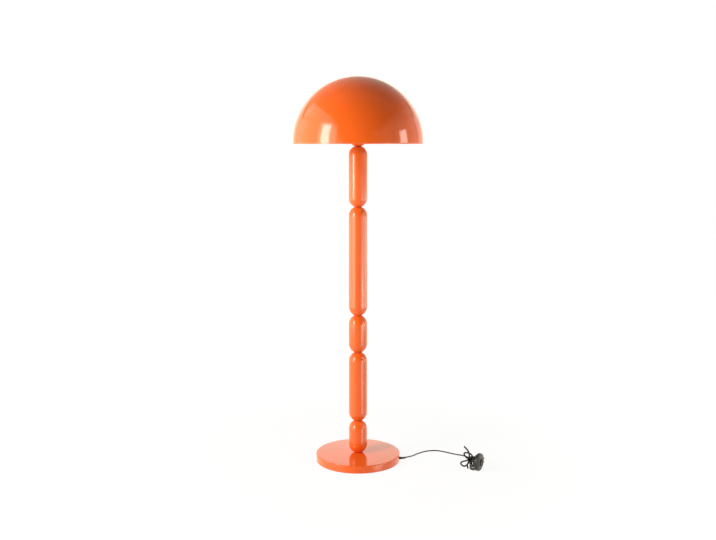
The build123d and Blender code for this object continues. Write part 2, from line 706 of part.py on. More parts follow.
def switch_button():
    """Round push button with a retaining skirt behind the cover."""
    top = SWITCH_HALF + SWITCH_CROWN + BUTTON_PROUD
    skirt_top = SWITCH_HALF + SWITCH_CROWN - SWITCH_WALL - RUN_GAP - 0.6
    button = tube(BUTTON_R, 0, top - BUTTON_DEPTH, top)
    button = fillet(button.edges().sort_by(Axis.Z)[-1], 1.5)
    button -= Pos(0, 0, top + 4 * BUTTON_R - 0.9) * Sphere(4 * BUTTON_R)
    button += tube(BUTTON_SKIRT_R, 0, skirt_top - BUTTON_SKIRT, skirt_top)
    return switch_plane() * button


def switch_block():
    """Contact block on the floor of the back half."""
    low = -SWITCH_HALF + SWITCH_WALL
    return switch_plane() * tube(SWITCH_BLOCK_R, 0, low, low + SWITCH_BLOCK_HEIGHT)


def switch_screws():
    """Three screws in from the back."""
    screw = tube(SWITCH_SCREW_R, 0, -SWITCH_HALF - 0.8, -1) + tube(2 * SWITCH_SCREW_R, 0, -SWITCH_HALF - 0.8, -SWITCH_HALF)
    return one([switch_plane() * place * screw for place in on_circle(SWITCH_SCREW_PCD_R, 3, 45)])


def switch_glands():
    """Tapered rubber sleeves at the two flex entries."""
    start = rim_depth() - 3
    end = rim_depth() + GLAND_LENGTH
    sleeve = turned_outline(
        [(FLEX_D / 2 + FIT, start), (GLAND_ROOT_R, start), (GLAND_ROOT_R, start + 6), (GLAND_TIP_R, end), (FLEX_D / 2 + FIT, end)]
    )
    return one([switch_plane() * place * sleeve for place in entry_places()])


def gland_tip(index):
    """Where the flex meets a gland's tip, and the way out of the switch."""
    place = Location(switch_plane()) * Location(entry_places()[index])
    tip = (place * Pos(0, 0, rim_depth() + GLAND_LENGTH)).position
    inside = (place * Pos(0, 0, 0)).position
    return tip, (tip - inside).normalized()


# ---------------------------------------------------------------- plug
def plug_place():
    """The plug's own frame: Z out of the pin face, lying flat."""
    origin = (PLUG_AT[0], PLUG_AT[1], PLUG_THICKNESS / 2)
    return Plane(origin=origin, x_dir=(-1, 0, 0), z_dir=(0, 1, 0))


def plug_body():
    """Flat two-pin plug: six-sided face, body drawn in to a tapered sleeve."""
    point = PLUG_THICKNESS / 2

    def outline(width, thickness, z):
        half = width / 2
        corner = half - thickness / 4
        points = [(half, 0), (corner, thickness / 2), (-corner, thickness / 2), (-half, 0), (-corner, -thickness / 2), (corner, -thickness / 2)]
        return Plane.XY.offset(z) * make_face(Polyline(*points, close=True))

    face = extrude(outline(PLUG_WIDTH, PLUG_THICKNESS, -PLUG_FACE_LENGTH), PLUG_FACE_LENGTH)
    rear = loft(
        [
            outline(PLUG_REAR_WIDTH, PLUG_REAR_THICKNESS, -PLUG_BODY_LENGTH),
            outline(PLUG_WIDTH, PLUG_THICKNESS, -PLUG_FACE_LENGTH),
        ]
    )
    end = -PLUG_BODY_LENGTH - PLUG_SLEEVE
    sleeve = turned_outline([(0, end), (GLAND_TIP_R, end), (PLUG_SLEEVE_ROOT_R, -PLUG_BODY_LENGTH + 1), (0, -PLUG_BODY_LENGTH + 1)])
    body = face + rear + sleeve
    for side in (-1, 1):
        body -= Pos(side * PIN_SPACING / 2, 0, 0) * tube(PIN_ROOT_R + FIT, 0, -PIN_SEAT, 0)
    return plug_place() * body


def plug_pins():
    """Two round pins with rounded tips."""
    pins = []
    for side in (-1, 1):
        pin = tube(PIN_R, 0, 0, PIN_LENGTH)
        pin = fillet(pin.edges().sort_by(Axis.Z)[-1], PIN_R * 0.6) + tube(PIN_ROOT_R, 0, -PIN_SEAT, 0)
        pins.append(plug_place() * Pos(side * PIN_SPACING / 2, 0, 0) * pin)
    return one(pins)


def plug_entry():
    """Where the flex meets the plug's sleeve, and the way into the plug."""
    end = (plug_place().location * Pos(0, 0, -PLUG_BODY_LENGTH - PLUG_SLEEVE)).position
    return end, Vector(0, 1, 0)


# ---------------------------------------------------------------- the hank
def hank_frame():
    """Middle, direction towards the far end, direction to the right, and half the run."""
    near = Vector(*HANK_NEAR, 0)
    far = Vector(*HANK_FAR, 0)
    along = (far - near).normalized()
    right = Vector(along.Y, -along.X, 0)
    return (near + far) * 0.5, along, right, (far - near).length / 2


def station(run, across, level, heading, lift=0.0):
    """A place on a loop and its direction: run and across in the hank's frame, heading as (along, right)."""
    middle, along, right, _ = hank_frame()
    point = middle + along * run + right * across + Vector(0, 0, FLOOR + level * HANK_STEP + lift)
    return point, (along * heading[0] + right * heading[1]).normalized()


def end_turn(end, level, clockwise, wider):
    """Three places round an end turn: end is +1 at the far side and -1 at the near side."""
    _, _, _, half = hank_frame()
    radius = HANK_TURN_R + wider
    first = -end if clockwise else end
    return [
        station(end * half, first * radius, level, (end, 0)),
        station(end * (half + radius), 0, level, (0, -first)),
        station(end * half, -first * radius, level, (-end, 0)),
    ]


def waist(side, level, heading):
    """Where a run passes under the tie: side is +1 on the right and -1 on the left."""
    return station(0, side * WAIST_HALF, level, (heading, 0), WAIST_LIFT)


def lamp_hank_stations():
    """From the lead's end through two clockwise loops to the switch's lower entry."""
    _, _, _, half = hank_frame()
    places = [station(half + 8, HANK_TURN_R, 0, (-1, 0)), station(half - 4, HANK_TURN_R, 0, (-1, 0))]
    for loop in range(2):
        places.append(waist(1, loop, -1))
        places += end_turn(-1, loop, True, LOOSENESS[loop])
        places.append(waist(-1, loop + 0.5, 1))
        places += end_turn(1, loop + 1, True, LOOSENESS[loop + 2])
    tip, out = gland_tip(0)
    return places[:-1] + [(tip, out * -1)]


def plug_hank_stations():
    """From the switch's upper entry through two anticlockwise loops, the upper one first, to the plug."""
    tip, out = gland_tip(1)
    places = [(tip, out)]
    for loop in range(2):
        turn = end_turn(1, 4 - loop, False, LOOSENESS[loop + 1])
        places += turn[1:] if loop == 0 else turn
        places.append(waist(-1, 3.5 - loop, -1))
        places += end_turn(-1, 3 - loop, False, LOOSENESS[loop + 3])
        if loop == 0:
            places.append(waist(1, 2, 1))
    return places + plug_tail()


def plug_tail():
    """From the near end, under the two links to the switch, into the plug."""
    end, into = plug_entry()
    return [(end - into * TAIL_RUN, into), (end, into)]


def biarc(start, leave, finish, arrive):
    """Two tangent arcs from start to finish, or straight lines where nothing turns."""
    chord = finish - start
    both = leave + arrive
    spread = 1 - leave.dot(arrive)
    if spread < 1e-9:
        reach = chord.dot(chord) / (4 * chord.dot(arrive))
    else:
        swing = chord.dot(both)
        reach = (math.sqrt(swing**2 + 2 * spread * chord.dot(chord)) - swing) / (2 * spread)
    meet = (start + finish + (leave - arrive) * reach) * 0.5
    first = tangent_piece(start, leave, meet)
    return [first, tangent_piece(meet, first % 1, finish)]


def tangent_piece(start, leave, finish):
    """An arc that leaves start in a given direction, or a line where finish lies straight ahead."""
    if (finish - start).normalized().cross(leave).length < 1e-6:
        return Line(start, finish)
    return TangentArc(start, finish, tangent=leave)


def looped_wire(places):
    """One smooth wire through all the places."""
    pieces = []
    for (start, leave), (finish, arrive) in zip(places, places[1:]):
        pieces += biarc(start, leave, finish, arrive)
    return Wire(pieces)


def lead_points():
    """The lead's corners, from the grommet's tip to the hank's first place."""
    tip, out = sleeve_tip()
    end, heading = lamp_hank_stations()[0]
    middle = [Vector(*p) for p in LEAD_ROUTE]
    return [tip, tip + out * LEAD_FIRST] + middle + [end - heading * LEAD_LAST, end]


def rounded_route(points):
    """Straight runs joined by arcs as large as their runs allow, and the arcs' radii."""
    radii = []
    for before, here, after in zip(points, points[1:], points[2:]):
        turn = math.radians((here - before).get_angle(after - here))
        shorter = min((here - before).length, (after - here).length)
        radii.append(0.45 * shorter / math.tan(turn / 2))
    return FilletPolyline(*points, radius=radii), radii


def flex_tube(path, diameter=FLEX_D):
    """The flex's tube along a path."""
    wire = path if isinstance(path, Wire) else Wire(path.edges())
    return sweep(flex_section(wire @ 0, wire % 0, diameter), path=wire)


def sampled(wire, spacing=1.5):
    """Points along a wire with their distance from its start."""
    count = int(wire.length / spacing)
    return [(wire.length * k / count, wire @ (k / count)) for k in range(count + 1)]


def least_gap(first, second, same):
    """Least clear distance between two stretches of flex, or of one stretch from itself."""
    best = 1e9
    for at_a, a in first:
        for at_b, b in second:
            if same and abs(at_a - at_b) < 4 * FLEX_D:
                continue
            best = min(best, (a - b).length)
    return best - FLEX_D


# ---------------------------------------------------------------- the tie
def tie_levels():
    """Lowest and highest centre line of the tie's band."""
    reach = FLEX_D / 2 + TIE_GAP + TIE_D / 2
    low = FLOOR + WAIST_LIFT - reach
    high = FLOOR + WAIST_LIFT + 3.5 * HANK_STEP + reach
    return low, high


def hank_tie():
    """Round coated wire tie: a band about the waist, a knot, a raised bow, a loop on the floor and two ends."""
    middle, along, right, _ = hank_frame()
    low, high = tie_levels()
    half = WAIST_HALF + FLEX_D / 2 + TIE_GAP + TIE_D / 2
    corners = [
        middle - right * half + Vector(0, 0, low),
        middle + right * half + Vector(0, 0, low),
        middle + right * half + Vector(0, 0, high),
        middle - right * half + Vector(0, 0, high),
    ]
    band = FilletPolyline(*corners, radius=TIE_D * 0.9, close=True)
    knot = middle - right * (half + KNOT_R - TIE_D / 2) + Vector(0, 0, high - KNOT_R / 2)
    ball = Pos(*knot) * Sphere(KNOT_R)
    pieces = [flex_tube(band, TIE_D) + ball]
    for strand in TIE_STRANDS:
        points = [tie_point(knot, *place) for place in strand]
        pieces.append(flex_tube(rounded_route(points)[0], TIE_D) - ball)
    return one(pieces)


def tie_point(knot, left, far, height):
    """A place on a strand: left and far of the knot, and height as a share of the knot's own."""
    _, along, right, _ = hank_frame()
    floor = TIE_D / 2 + TIE_FLOOR_GAP
    flat = knot - right * left + along * far
    return Vector(flat.X, flat.Y, floor + height * (knot.Z - floor))


# ---------------------------------------------------------------- build
def build_cord():
    """Writes the free flex and its hank, and prints how it lies."""
    lead, radii = rounded_route(lead_points())
    print("lead radii", [round(r) for r in radii], "length", round(lead.length))
    write("cord_lead", flex_tube(lead))
    lamp_side = looped_wire(lamp_hank_stations())
    plug_side = looped_wire(plug_hank_stations())
    write("cord_hank_lamp", flex_tube(lamp_side))
    write("cord_hank_plug", flex_tube(plug_side))
    bends = [e.radius for w in (lamp_side, plug_side) for e in w.edges() if e.geom_type == GeomType.CIRCLE]
    print("hank lengths", round(lamp_side.length), round(plug_side.length), "tightest bend", round(min(bends), 1))
    lamp_points = sampled(lamp_side)
    plug_points = sampled(plug_side)
    lead_line = sampled(Wire(lead.edges()))
    print("least gap, lamp side", round(least_gap(lamp_points, lamp_points, True), 2))
    print("least gap, plug side", round(least_gap(plug_points, plug_points, True), 2))
    print("least gap, one to the other", round(least_gap(lamp_points, plug_points, False), 2))
    print("least gap, lead to plug side", round(least_gap(lead_line, plug_points, False), 2))
    print("lowest centre line", round(min(p.Z for _, p in lamp_points + plug_points), 2))


def main():
    """Writes every sub-part."""
    os.makedirs("parts", exist_ok=True)
    write("base_cover", base_cover())
    write("base_weight", base_weight())
    write("base_plate", base_plate())
    write("base_pad", base_pad())
    write("base_screws", base_screws())
    write("base_washer", tube(WASHER_R, PIPE_R + FIT, WASHER_Z, RECESS_TOP))
    write("base_nut", base_nut())
    write("cord_clip", cord_clip())
    write("cord_grommet", cord_grommet())
    write("inner_flex", inner_flex())
    for number, (foot, length) in enumerate(zip(CAPSULE_FEET, CAPSULE_LENGTHS), start=1):
        write(f"stem_capsule_{number}", capsule_shell(foot, length))
    write("capsule_bushes", capsule_bushes())
    write("joint_nipples", joint_nipples())
    write("joint_washers", joint_washers())
    write("holder_cap", holder_cap())
    write("holder_body", holder_body())
    write("holder_insert", holder_insert())
    write("screw_shell", screw_shell())
    write("shade_ring", shade_ring())
    write("bulb_cap", bulb_cap())
    write("bulb_body", bulb_body())
    write("bulb_globe", bulb_globe())
    write("shade_dome", shade_dome())
    write("shade_lugs", shade_lugs())
    write("shade_spider", shade_spider())
    write("spider_screws", spider_screws())
    write("spider_nuts", spider_nuts())
    write("switch_base", switch_base())
    write("switch_cover", switch_cover())
    write("switch_button", switch_button())
    write("switch_block", switch_block())
    write("switch_screws", switch_screws())
    write("switch_glands", switch_glands())
    write("plug_body", plug_body())
    write("plug_pins", plug_pins())
    write("hank_tie", hank_tie())
    build_cord()


if __name__ == "__main__":
    main()
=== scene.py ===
"""Scene of an orange floor lamp with a dome shade: surfaces, flex, studio light and camera.

Everything is in metres, in the frame of the lamp's parts: the origin lies under the middle of the
base, +Z is up, and the camera looks along +Y.
"""

from __future__ import annotations

import json
import logging
import math
from dataclasses import dataclass, field
from enum import Enum
from typing import Iterable, Sequence

import bmesh
import bpy
from mathutils import Matrix, Vector

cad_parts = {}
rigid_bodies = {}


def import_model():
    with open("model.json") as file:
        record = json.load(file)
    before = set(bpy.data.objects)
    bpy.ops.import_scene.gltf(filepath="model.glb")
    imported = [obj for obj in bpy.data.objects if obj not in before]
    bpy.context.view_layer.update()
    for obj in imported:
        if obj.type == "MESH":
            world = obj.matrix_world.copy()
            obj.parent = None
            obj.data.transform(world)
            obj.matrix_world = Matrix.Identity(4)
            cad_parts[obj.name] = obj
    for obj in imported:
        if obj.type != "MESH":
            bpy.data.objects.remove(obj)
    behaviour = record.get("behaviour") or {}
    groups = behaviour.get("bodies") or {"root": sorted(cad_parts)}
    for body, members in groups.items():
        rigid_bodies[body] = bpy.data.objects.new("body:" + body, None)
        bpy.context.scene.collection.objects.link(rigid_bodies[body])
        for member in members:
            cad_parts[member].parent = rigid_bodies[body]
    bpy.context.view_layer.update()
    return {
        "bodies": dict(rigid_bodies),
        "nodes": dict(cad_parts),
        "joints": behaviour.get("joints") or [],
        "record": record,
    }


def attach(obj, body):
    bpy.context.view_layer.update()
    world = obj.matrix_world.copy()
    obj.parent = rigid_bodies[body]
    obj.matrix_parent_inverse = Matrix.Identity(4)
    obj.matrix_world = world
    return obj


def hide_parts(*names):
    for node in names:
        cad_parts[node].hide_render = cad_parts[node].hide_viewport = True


LOG = logging.getLogger("lamp")
STUDIO_WHITE = "#FFF7E9"
PLAIN_WHITE = (1.0, 1.0, 1.0, 1.0)
MM_PER_METRE = 1000.0

# A point this near to the axis lies on it, and points this near to each other are one; metres.
AXIS_RADIUS = 1e-7
MERGE_DISTANCE = 1e-6
# A rounding takes at most this share of the sides beside its corner.
ROUNDING_SHARE = 0.49
# An edge with a larger angle than this, in degrees, stays sharp.
SHARP_EDGE = 32.0
SHARP_CARRIED_EDGE = 30.0
# Most of what a noise gives lies between these two values.
NOISE_LOW, NOISE_HIGH = 0.3, 0.7
# Patches of roughness are this many times finer than patches of colour.
WEAR_FINENESS = 3.0
LOWEST_ROUGHNESS = 0.02
# Brushed streaks run round a piece and are this many times longer than high.
STREAK_STRETCH = 14.0

UP = Vector((0.0, 0.0, 1.0))

Point2 = tuple[float, float]
Point3 = tuple[float, float, float]


def mm(*values: float) -> tuple[float, ...]:
    """Turn millimetres into metres.

    Args:
        values: Lengths in millimetres.

    Returns:
        The same lengths in metres.
    """
    return tuple(value / MM_PER_METRE for value in values)


# --------------------------------------------------------------------------- sizes


@dataclass(frozen=True)
class LampSizes:
    """Real sizes of the lamp's pieces, in metres."""

    base_radius: float = 0.166
    base_bottom: float = 0.001
    base_top: float = 0.030
    base_wall: float = 0.0015
    base_edge: float = 0.004
    stem_radius: float = 0.036
    stem_wall: float = 0.0016
    neck_radius: float = 0.016
    spigot_radius: float = 0.011
    seam: float = 0.002
    seam_radius: float = 0.0135
    capsules: tuple[float, ...] = (0.128, 0.273, 0.145, 0.421, 0.228, 0.096)
    shade_radius: float = 0.2499
    shade_skirt: float = 0.005
    shade_wall: float = 0.0012
    rim_above_joint: float = 0.008
    rod_bore: float = 0.00505
    holder_cap: float = 0.022
    holder_body: float = 0.036
    flex_diameter: float = 0.005

    def capsule_feet(self) -> list[float]:
        """Work out the foot of each capsule.

        Returns:
            Heights of the capsules' feet, from the base up.
        """
        feet = []
        height = self.base_top + self.seam
        for length in self.capsules:
            feet.append(height)
            height += length + self.seam
        return feet

    def rim(self) -> float:
        """Find the height of the shade's rim.

        Returns:
            Height of the rim above the floor.
        """
        return self.capsule_feet()[-1] + self.rim_above_joint

    def stem_top(self) -> float:
        """Find the top of the last capsule.

        Returns:
            Height above the floor.
        """
        return self.capsule_feet()[-1] + self.capsules[-1]

    def holder_mouth(self) -> float:
        """Find the mouth of the lamp holder, where the bulb's collar sits.

        Returns:
            Height above the floor.
        """
        return self.stem_top() + self.holder_cap + self.holder_body


SIZES = LampSizes()


# --------------------------------------------------------------------------- colours and nodes


def linear(code: str) -> tuple[float, float, float, float]:
    """Turn an sRGB hex colour into the linear colour that shaders use.

    Args:
        code: A # and six hex digits.

    Returns:
        Linear red, green and blue, and an alpha of 1.
    """
    levels = [int(code[start : start + 2], 16) / 255.0 for start in (1, 3, 5)]
    red, green, blue = (x / 12.92 if x <= 0.04045 else ((x + 0.055) / 1.055) ** 2.4 for x in levels)
    return red, green, blue, 1.0


def add_node(
    tree: bpy.types.NodeTree, kind: str, inputs: dict | None = None, **settings: object
) -> bpy.types.Node:
    """Add a node, set it up and link it.

    Args:
        tree: Node tree that gets the node.
        kind: Node type name.
        inputs: By input name or index, a value, a socket or a node, which stands for its first output.
        settings: Attributes of the node.

    Returns:
        The new node.
    """
    node = tree.nodes.new(kind)
    for name, value in settings.items():
        setattr(node, name, value)
    for key, value in (inputs or {}).items():
        source = value.outputs[0] if isinstance(value, bpy.types.Node) else value
        if isinstance(source, bpy.types.NodeSocket):
            tree.links.new(source, node.inputs[key])
        else:
            node.inputs[key].default_value = source
    return node


class Texture(Enum):
    """Fine surface of a finish."""

    SMOOTH = "smooth"
    ORANGE_PEEL = "orange peel"
    MOULDED = "moulded"
    BRUSHED = "brushed"
    CAST = "cast"
    FOAM = "foam"


RELIEF_DEPTH_MM = {
    Texture.SMOOTH: 0.01,
    Texture.ORANGE_PEEL: 0.02,
    Texture.MOULDED: 0.04,
    Texture.BRUSHED: 0.03,
    Texture.CAST: 0.3,
    Texture.FOAM: 0.3,
}


@dataclass(frozen=True)
class Finish:
    """A surface finish; its colours are sRGB hex codes, its patterns' sizes millimetres on the object."""

    name: str
    colour: str
    shade: str
    roughness: float
    texture: Texture = Texture.SMOOTH
    metallic: float = 0.0
    coat: float = 0.0
    coat_roughness: float = 0.05
    specular: float = 0.5
    ior: float = 1.5
    patch_mm: float = 110.0
    roughness_spread: float = 0.04
    relief: float = 0.1
    grain_mm: float = 1.4
    sheen: float = 0.0
    subsurface: float = 0.0

    def material(self) -> bpy.types.Material:
        """Build the finish as a procedural material.

        Returns:
            The material, made once and then reused.
        """
        title = f"finish_{self.name}"
        known = bpy.data.materials.get(title)
        if known is not None:
            return known
        made = bpy.data.materials.new(title)
        made.use_nodes = True
        tree = made.node_tree
        tree.nodes.clear()
        place = add_node(tree, "ShaderNodeTexCoord").outputs["Object"]
        surface = add_node(
            tree,
            "ShaderNodeBsdfPrincipled",
            {
                "Base Color": self._colour(tree, place),
                "Roughness": self._roughness(tree, place),
                "Normal": self._relief(tree, place),
                "Metallic": self.metallic,
                "IOR": self.ior,
                "Specular IOR Level": self.specular,
                "Coat Weight": self.coat,
                "Coat Roughness": self.coat_roughness,
                "Sheen Weight": self.sheen,
                "Subsurface Weight": self.subsurface,
            },
        )
        add_node(tree, "ShaderNodeOutputMaterial", {"Surface": surface.outputs["BSDF"]})
        made.diffuse_color = linear(self.colour)
        return made

    def _colour(self, tree: bpy.types.NodeTree, place: bpy.types.NodeSocket) -> bpy.types.NodeSocket:
        """Mix the two colours in soft patches.

        Args:
            tree: Material's node tree.
            place: Object coordinates.

        Returns:
            Colour socket.
        """
        patches = add_node(
            tree,
            "ShaderNodeTexNoise",
            {"Vector": place, "Scale": MM_PER_METRE / self.patch_mm, "Detail": 3.0, "Roughness": 0.55},
        )
        share = add_node(
            tree,
            "ShaderNodeMapRange",
            {"Value": patches, "From Min": NOISE_LOW, "From Max": NOISE_HIGH},
            interpolation_type="SMOOTHSTEP",
        )
        factor, first, second, result = 0, 6, 7, 2
        colours = {factor: share, first: linear(self.colour), second: linear(self.shade)}
        return add_node(tree, "ShaderNodeMix", colours, data_type="RGBA").outputs[result]

    def _roughness(self, tree: bpy.types.NodeTree, place: bpy.types.NodeSocket) -> bpy.types.NodeSocket:
        """Vary the roughness a little, as handling and cleaning leave it.

        Args:
            tree: Material's node tree.
            place: Object coordinates.

        Returns:
            Roughness socket.
        """
        scale = WEAR_FINENESS * MM_PER_METRE / self.patch_mm
        wear = {"Vector": place, "Scale": scale, "Detail": 5.0, "Roughness": 0.6}
        patches = add_node(tree, "ShaderNodeTexNoise", wear)
        spread = {
            "Value": patches,
            "From Min": NOISE_LOW,
            "From Max": NOISE_HIGH,
            "To Min": max(LOWEST_ROUGHNESS, self.roughness - self.roughness_spread),
            "To Max": self.roughness + self.roughness_spread,
        }
        return add_node(tree, "ShaderNodeMapRange", spread).outputs["Result"]

    def _relief(self, tree: bpy.types.NodeTree, place: bpy.types.NodeSocket) -> bpy.types.NodeSocket:
        """Add the fine relief of the texture.

        Args:
            tree: Material's node tree.
            place: Object coordinates.

        Returns:
            Normal socket.
        """
        scale = MM_PER_METRE / self.grain_mm
        if self.texture is Texture.BRUSHED:
            stretch = (1.0, 1.0, STREAK_STRETCH)
            streaks = add_node(tree, "ShaderNodeMapping", {"Vector": place, "Scale": stretch})
            grain = add_node(tree, "ShaderNodeTexNoise", {"Vector": streaks, "Scale": scale, "Detail": 2.0})
        elif self.texture in (Texture.CAST, Texture.FOAM):
            cells = {"Vector": place, "Scale": scale, "Randomness": 1.0}
            grain = add_node(tree, "ShaderNodeTexVoronoi", cells)
        else:
            waves = {"Vector": place, "Scale": scale, "Detail": 3.0, "Roughness": 0.5}
            grain = add_node(tree, "ShaderNodeTexNoise", waves)
        depth = RELIEF_DEPTH_MM[self.texture] / MM_PER_METRE
        relief = {"Height": grain, "Strength": self.relief, "Distance": depth}
        return add_node(tree, "ShaderNodeBump", relief).outputs["Normal"]


@dataclass(frozen=True)
class Palette:
    """Every finish on the lamp."""

    # Gloss enamel sprayed on spun and pressed steel: sharp reflections, a peel of 2.4 mm too faint to count.
    enamel: Finish = Finish(
        "orange_enamel", "#EC641F", "#E8601E", 0.13, Texture.ORANGE_PEEL, roughness_spread=0.015,
        relief=0.03, grain_mm=2.38, patch_mm=200.0
    )
    # Satin enamel inside the shade: throws the bulb's light down evenly.
    inner_enamel: Finish = Finish(
        "inner_enamel", "#F0E9DF", "#EAE2D6", 0.32, Texture.ORANGE_PEEL, relief=0.3, grain_mm=2.38,
        patch_mm=200.0
    )
    # Dark red enamel on the washers, darker than the capsules as painted shade: it stands for the shadow in
    # the crevice and draws a thin line that parts the capsules.
    joint_enamel: Finish = Finish(
        "joint_enamel", "#8E1E10", "#7F190D", 0.3, Texture.ORANGE_PEEL, coat=0.3, relief=0.2, grain_mm=2,
        patch_mm=50.0
    )
    # Zinc-plated steel, turned and pressed: dull grey with a fine brushed streak.
    zinc: Finish = Finish(
        "zinc_steel", "#B9BABD", "#A6A8AC", 0.34, Texture.BRUSHED, metallic=1.0, relief=0.3,
        grain_mm=3.85, patch_mm=25.0
    )
    # Rolled brass of the lamp holder's shell: a soft yellow gleam.
    brass: Finish = Finish(
        "contact_brass", "#C9A457", "#B5903F", 0.26, Texture.BRUSHED, metallic=1.0, relief=0.2,
        grain_mm=3.33, patch_mm=17.0
    )
    # Nickel plate on the bulb's cap and the plug's pins: bright, slightly streaked.
    nickel: Finish = Finish(
        "nickel", "#C9C8C4", "#BDBBB6", 0.2, Texture.BRUSHED, metallic=1.0, relief=0.15, grain_mm=2.5,
        patch_mm=17.0
    )
    # Raw cast iron: dark, dry and pitted as sand leaves it.
    cast_iron: Finish = Finish(
        "cast_iron", "#2C2C2D", "#3A3836", 0.72, Texture.CAST, metallic=0.4, relief=0.6, grain_mm=2,
        patch_mm=33.0
    )
    # Closed-cell foam pad: black and matt; its cells are drawn coarser than real so that they show.
    foam: Finish = Finish(
        "foam_pad", "#1C1C1D", "#262627", 0.95, Texture.FOAM, relief=0.8, grain_mm=1.11, sheen=0.2,
        patch_mm=17.0
    )
    # Moulded nylon of switch and lamp holder: near black with a low, even shine.
    nylon: Finish = Finish(
        "black_nylon", "#202022", "#28282A", 0.42, Texture.MOULDED, specular=0.4, relief=0.4,
        grain_mm=0.667, patch_mm=20.0
    )
    # The same nylon in a deeper black, as painted shade: the button is darkened to stand for the shadow
    # beside it, the darkest spot on the switch.
    button: Finish = Finish(
        "button_painted_shade_nylon", "#0D0D0E", "#121213", 0.45, Texture.MOULDED, specular=0.25, relief=0.4,
        grain_mm=0.667, patch_mm=20.0
    )
    # Soft moulded rubber: dull black, no clear highlight.
    rubber: Finish = Finish(
        "black_rubber", "#232325", "#2B2B2D", 0.55, Texture.MOULDED, relief=0.5, grain_mm=0.833,
        sheen=0.1, patch_mm=17.0
    )
    # Extruded PVC sheath: dark grey where light runs along its round side.
    flex: Finish = Finish(
        "flex_sheath", "#242426", "#2C2C2F", 0.5, Texture.MOULDED, specular=0.35, relief=0.4,
        grain_mm=0.769, sheen=0.1, patch_mm=22.0
    )
    # PVC-coated wire: smoother and blacker than the flex.
    wire_tie: Finish = Finish(
        "tie_sheath", "#0E0E0F", "#141415", 0.5, Texture.MOULDED, specular=0.2, relief=0.3,
        grain_mm=0.769, patch_mm=17.0
    )
    # Glazed ceramic: cool white with a glassy top.
    ceramic: Finish = Finish(
        "white_ceramic", "#E8E4DB", "#DFDACF", 0.22, Texture.ORANGE_PEEL, coat=0.4, relief=0.3,
        grain_mm=3.33, patch_mm=20.0
    )
    # Moulded polycarbonate of the bulb: plain white.
    white_plastic: Finish = Finish(
        "bulb_plastic", "#EDEDEA", "#E4E4E0", 0.35, Texture.MOULDED, relief=0.2, grain_mm=1.11,
        patch_mm=20.0
    )
    # Opal glass: milky, with a soft gleam.
    opal: Finish = Finish(
        "opal_glass", "#F7F5EE", "#F2EFE6", 0.25, Texture.SMOOTH, coat=0.5, relief=0.1, grain_mm=3.33,
        patch_mm=50.0, subsurface=0.3
    )


PALETTE = Palette()


# --------------------------------------------------------------------------- mesh making


def arc_points(centre: Point2, radius: float, start: float, end: float, count: int) -> list[Point2]:
    """Sample an arc in the (radius, height) plane.

    Args:
        centre: Centre of the arc.
        radius: Radius of the arc.
        start: First angle in degrees, from the outward direction.
        end: Last angle in degrees.
        count: Number of steps.

    Returns:
        count + 1 points.
    """
    points = []
    for step in range(count + 1):
        angle = math.radians(start + (end - start) * step / count)
        points.append((centre[0] + radius * math.cos(angle), centre[1] + radius * math.sin(angle)))
    return points


def rounded(corners: Sequence[Point3], closed: bool = True, steps: int = 6) -> list[Point2]:
    """Round the corners of an outline.

    Args:
        corners: Radius, height and rounding of each corner.
        closed: Whether the last corner joins the first.
        steps: Steps of each rounding.

    Returns:
        Points of the rounded outline.
    """
    points: list[Point2] = []
    count = len(corners)
    for index, (x, y, radius) in enumerate(corners):
        here = Vector((x, y))
        if radius <= 0 or (not closed and index in (0, count - 1)):
            points.append((x, y))
            continue
        before = Vector(corners[index - 1][:2])
        after = Vector(corners[(index + 1) % count][:2])
        inward = (before - here).normalized()
        outward = (after - here).normalized()
        half = inward.angle(outward) / 2
        room = ROUNDING_SHARE * min((before - here).length, (after - here).length)
        reach = min(radius / math.tan(half), room)
        start = here + inward * reach
        end = here + outward * reach
        for step in range(steps + 1):
            share = step / steps
            low = start.lerp(here, share)
            high = here.lerp(end, share)
            point = low.lerp(high, share)
            points.append((point.x, point.y))
    return points


@dataclass
class Lathe:
    """A turned piece: an outline swung about the local Z axis."""

    name: str
    outline: Sequence[Point2]
    closed: bool = True
    segments: int = 128
    place: Matrix = field(default_factory=lambda: Matrix.Identity(4))
    sharp: float = SHARP_EDGE

    def build(self) -> bpy.types.Object:
        """Make the turned mesh.

        Returns:
            The object, at the origin, with its place in its mesh.
        """
        work = bmesh.new()
        rings = []
        for radius, height in self.outline:
            if radius < AXIS_RADIUS:
                rings.append([work.verts.new((0.0, 0.0, height))])
                continue
            ring = []
            for step in range(self.segments):
                angle = 2 * math.pi * step / self.segments
                ring.append(work.verts.new((radius * math.cos(angle), radius * math.sin(angle), height)))
            rings.append(ring)
        pairs = list(zip(rings, rings[1:]))
        if self.closed:
            pairs.append((rings[-1], rings[0]))
        for low, high in pairs:
            self._band(work, low, high)
        return finish_mesh(work, self.name, self.place, self.sharp)

    def _band(self, work: bmesh.types.BMesh, low: list, high: list) -> None:
        """Join two rings with faces.

        Args:
            work: Mesh under construction.
            low: First ring, or a single point on the axis.
            high: Second ring, or a single point on the axis.
        """
        count = max(len(low), len(high))
        if count == 1:
            return
        for step in range(count):
            after = (step + 1) % count
            below = [low[step % len(low)], low[after % len(low)]]
            above = [high[after % len(high)], high[step % len(high)]]
            corners = list(dict.fromkeys(below + above))
            if len(corners) >= 3:
                work.faces.new(corners)


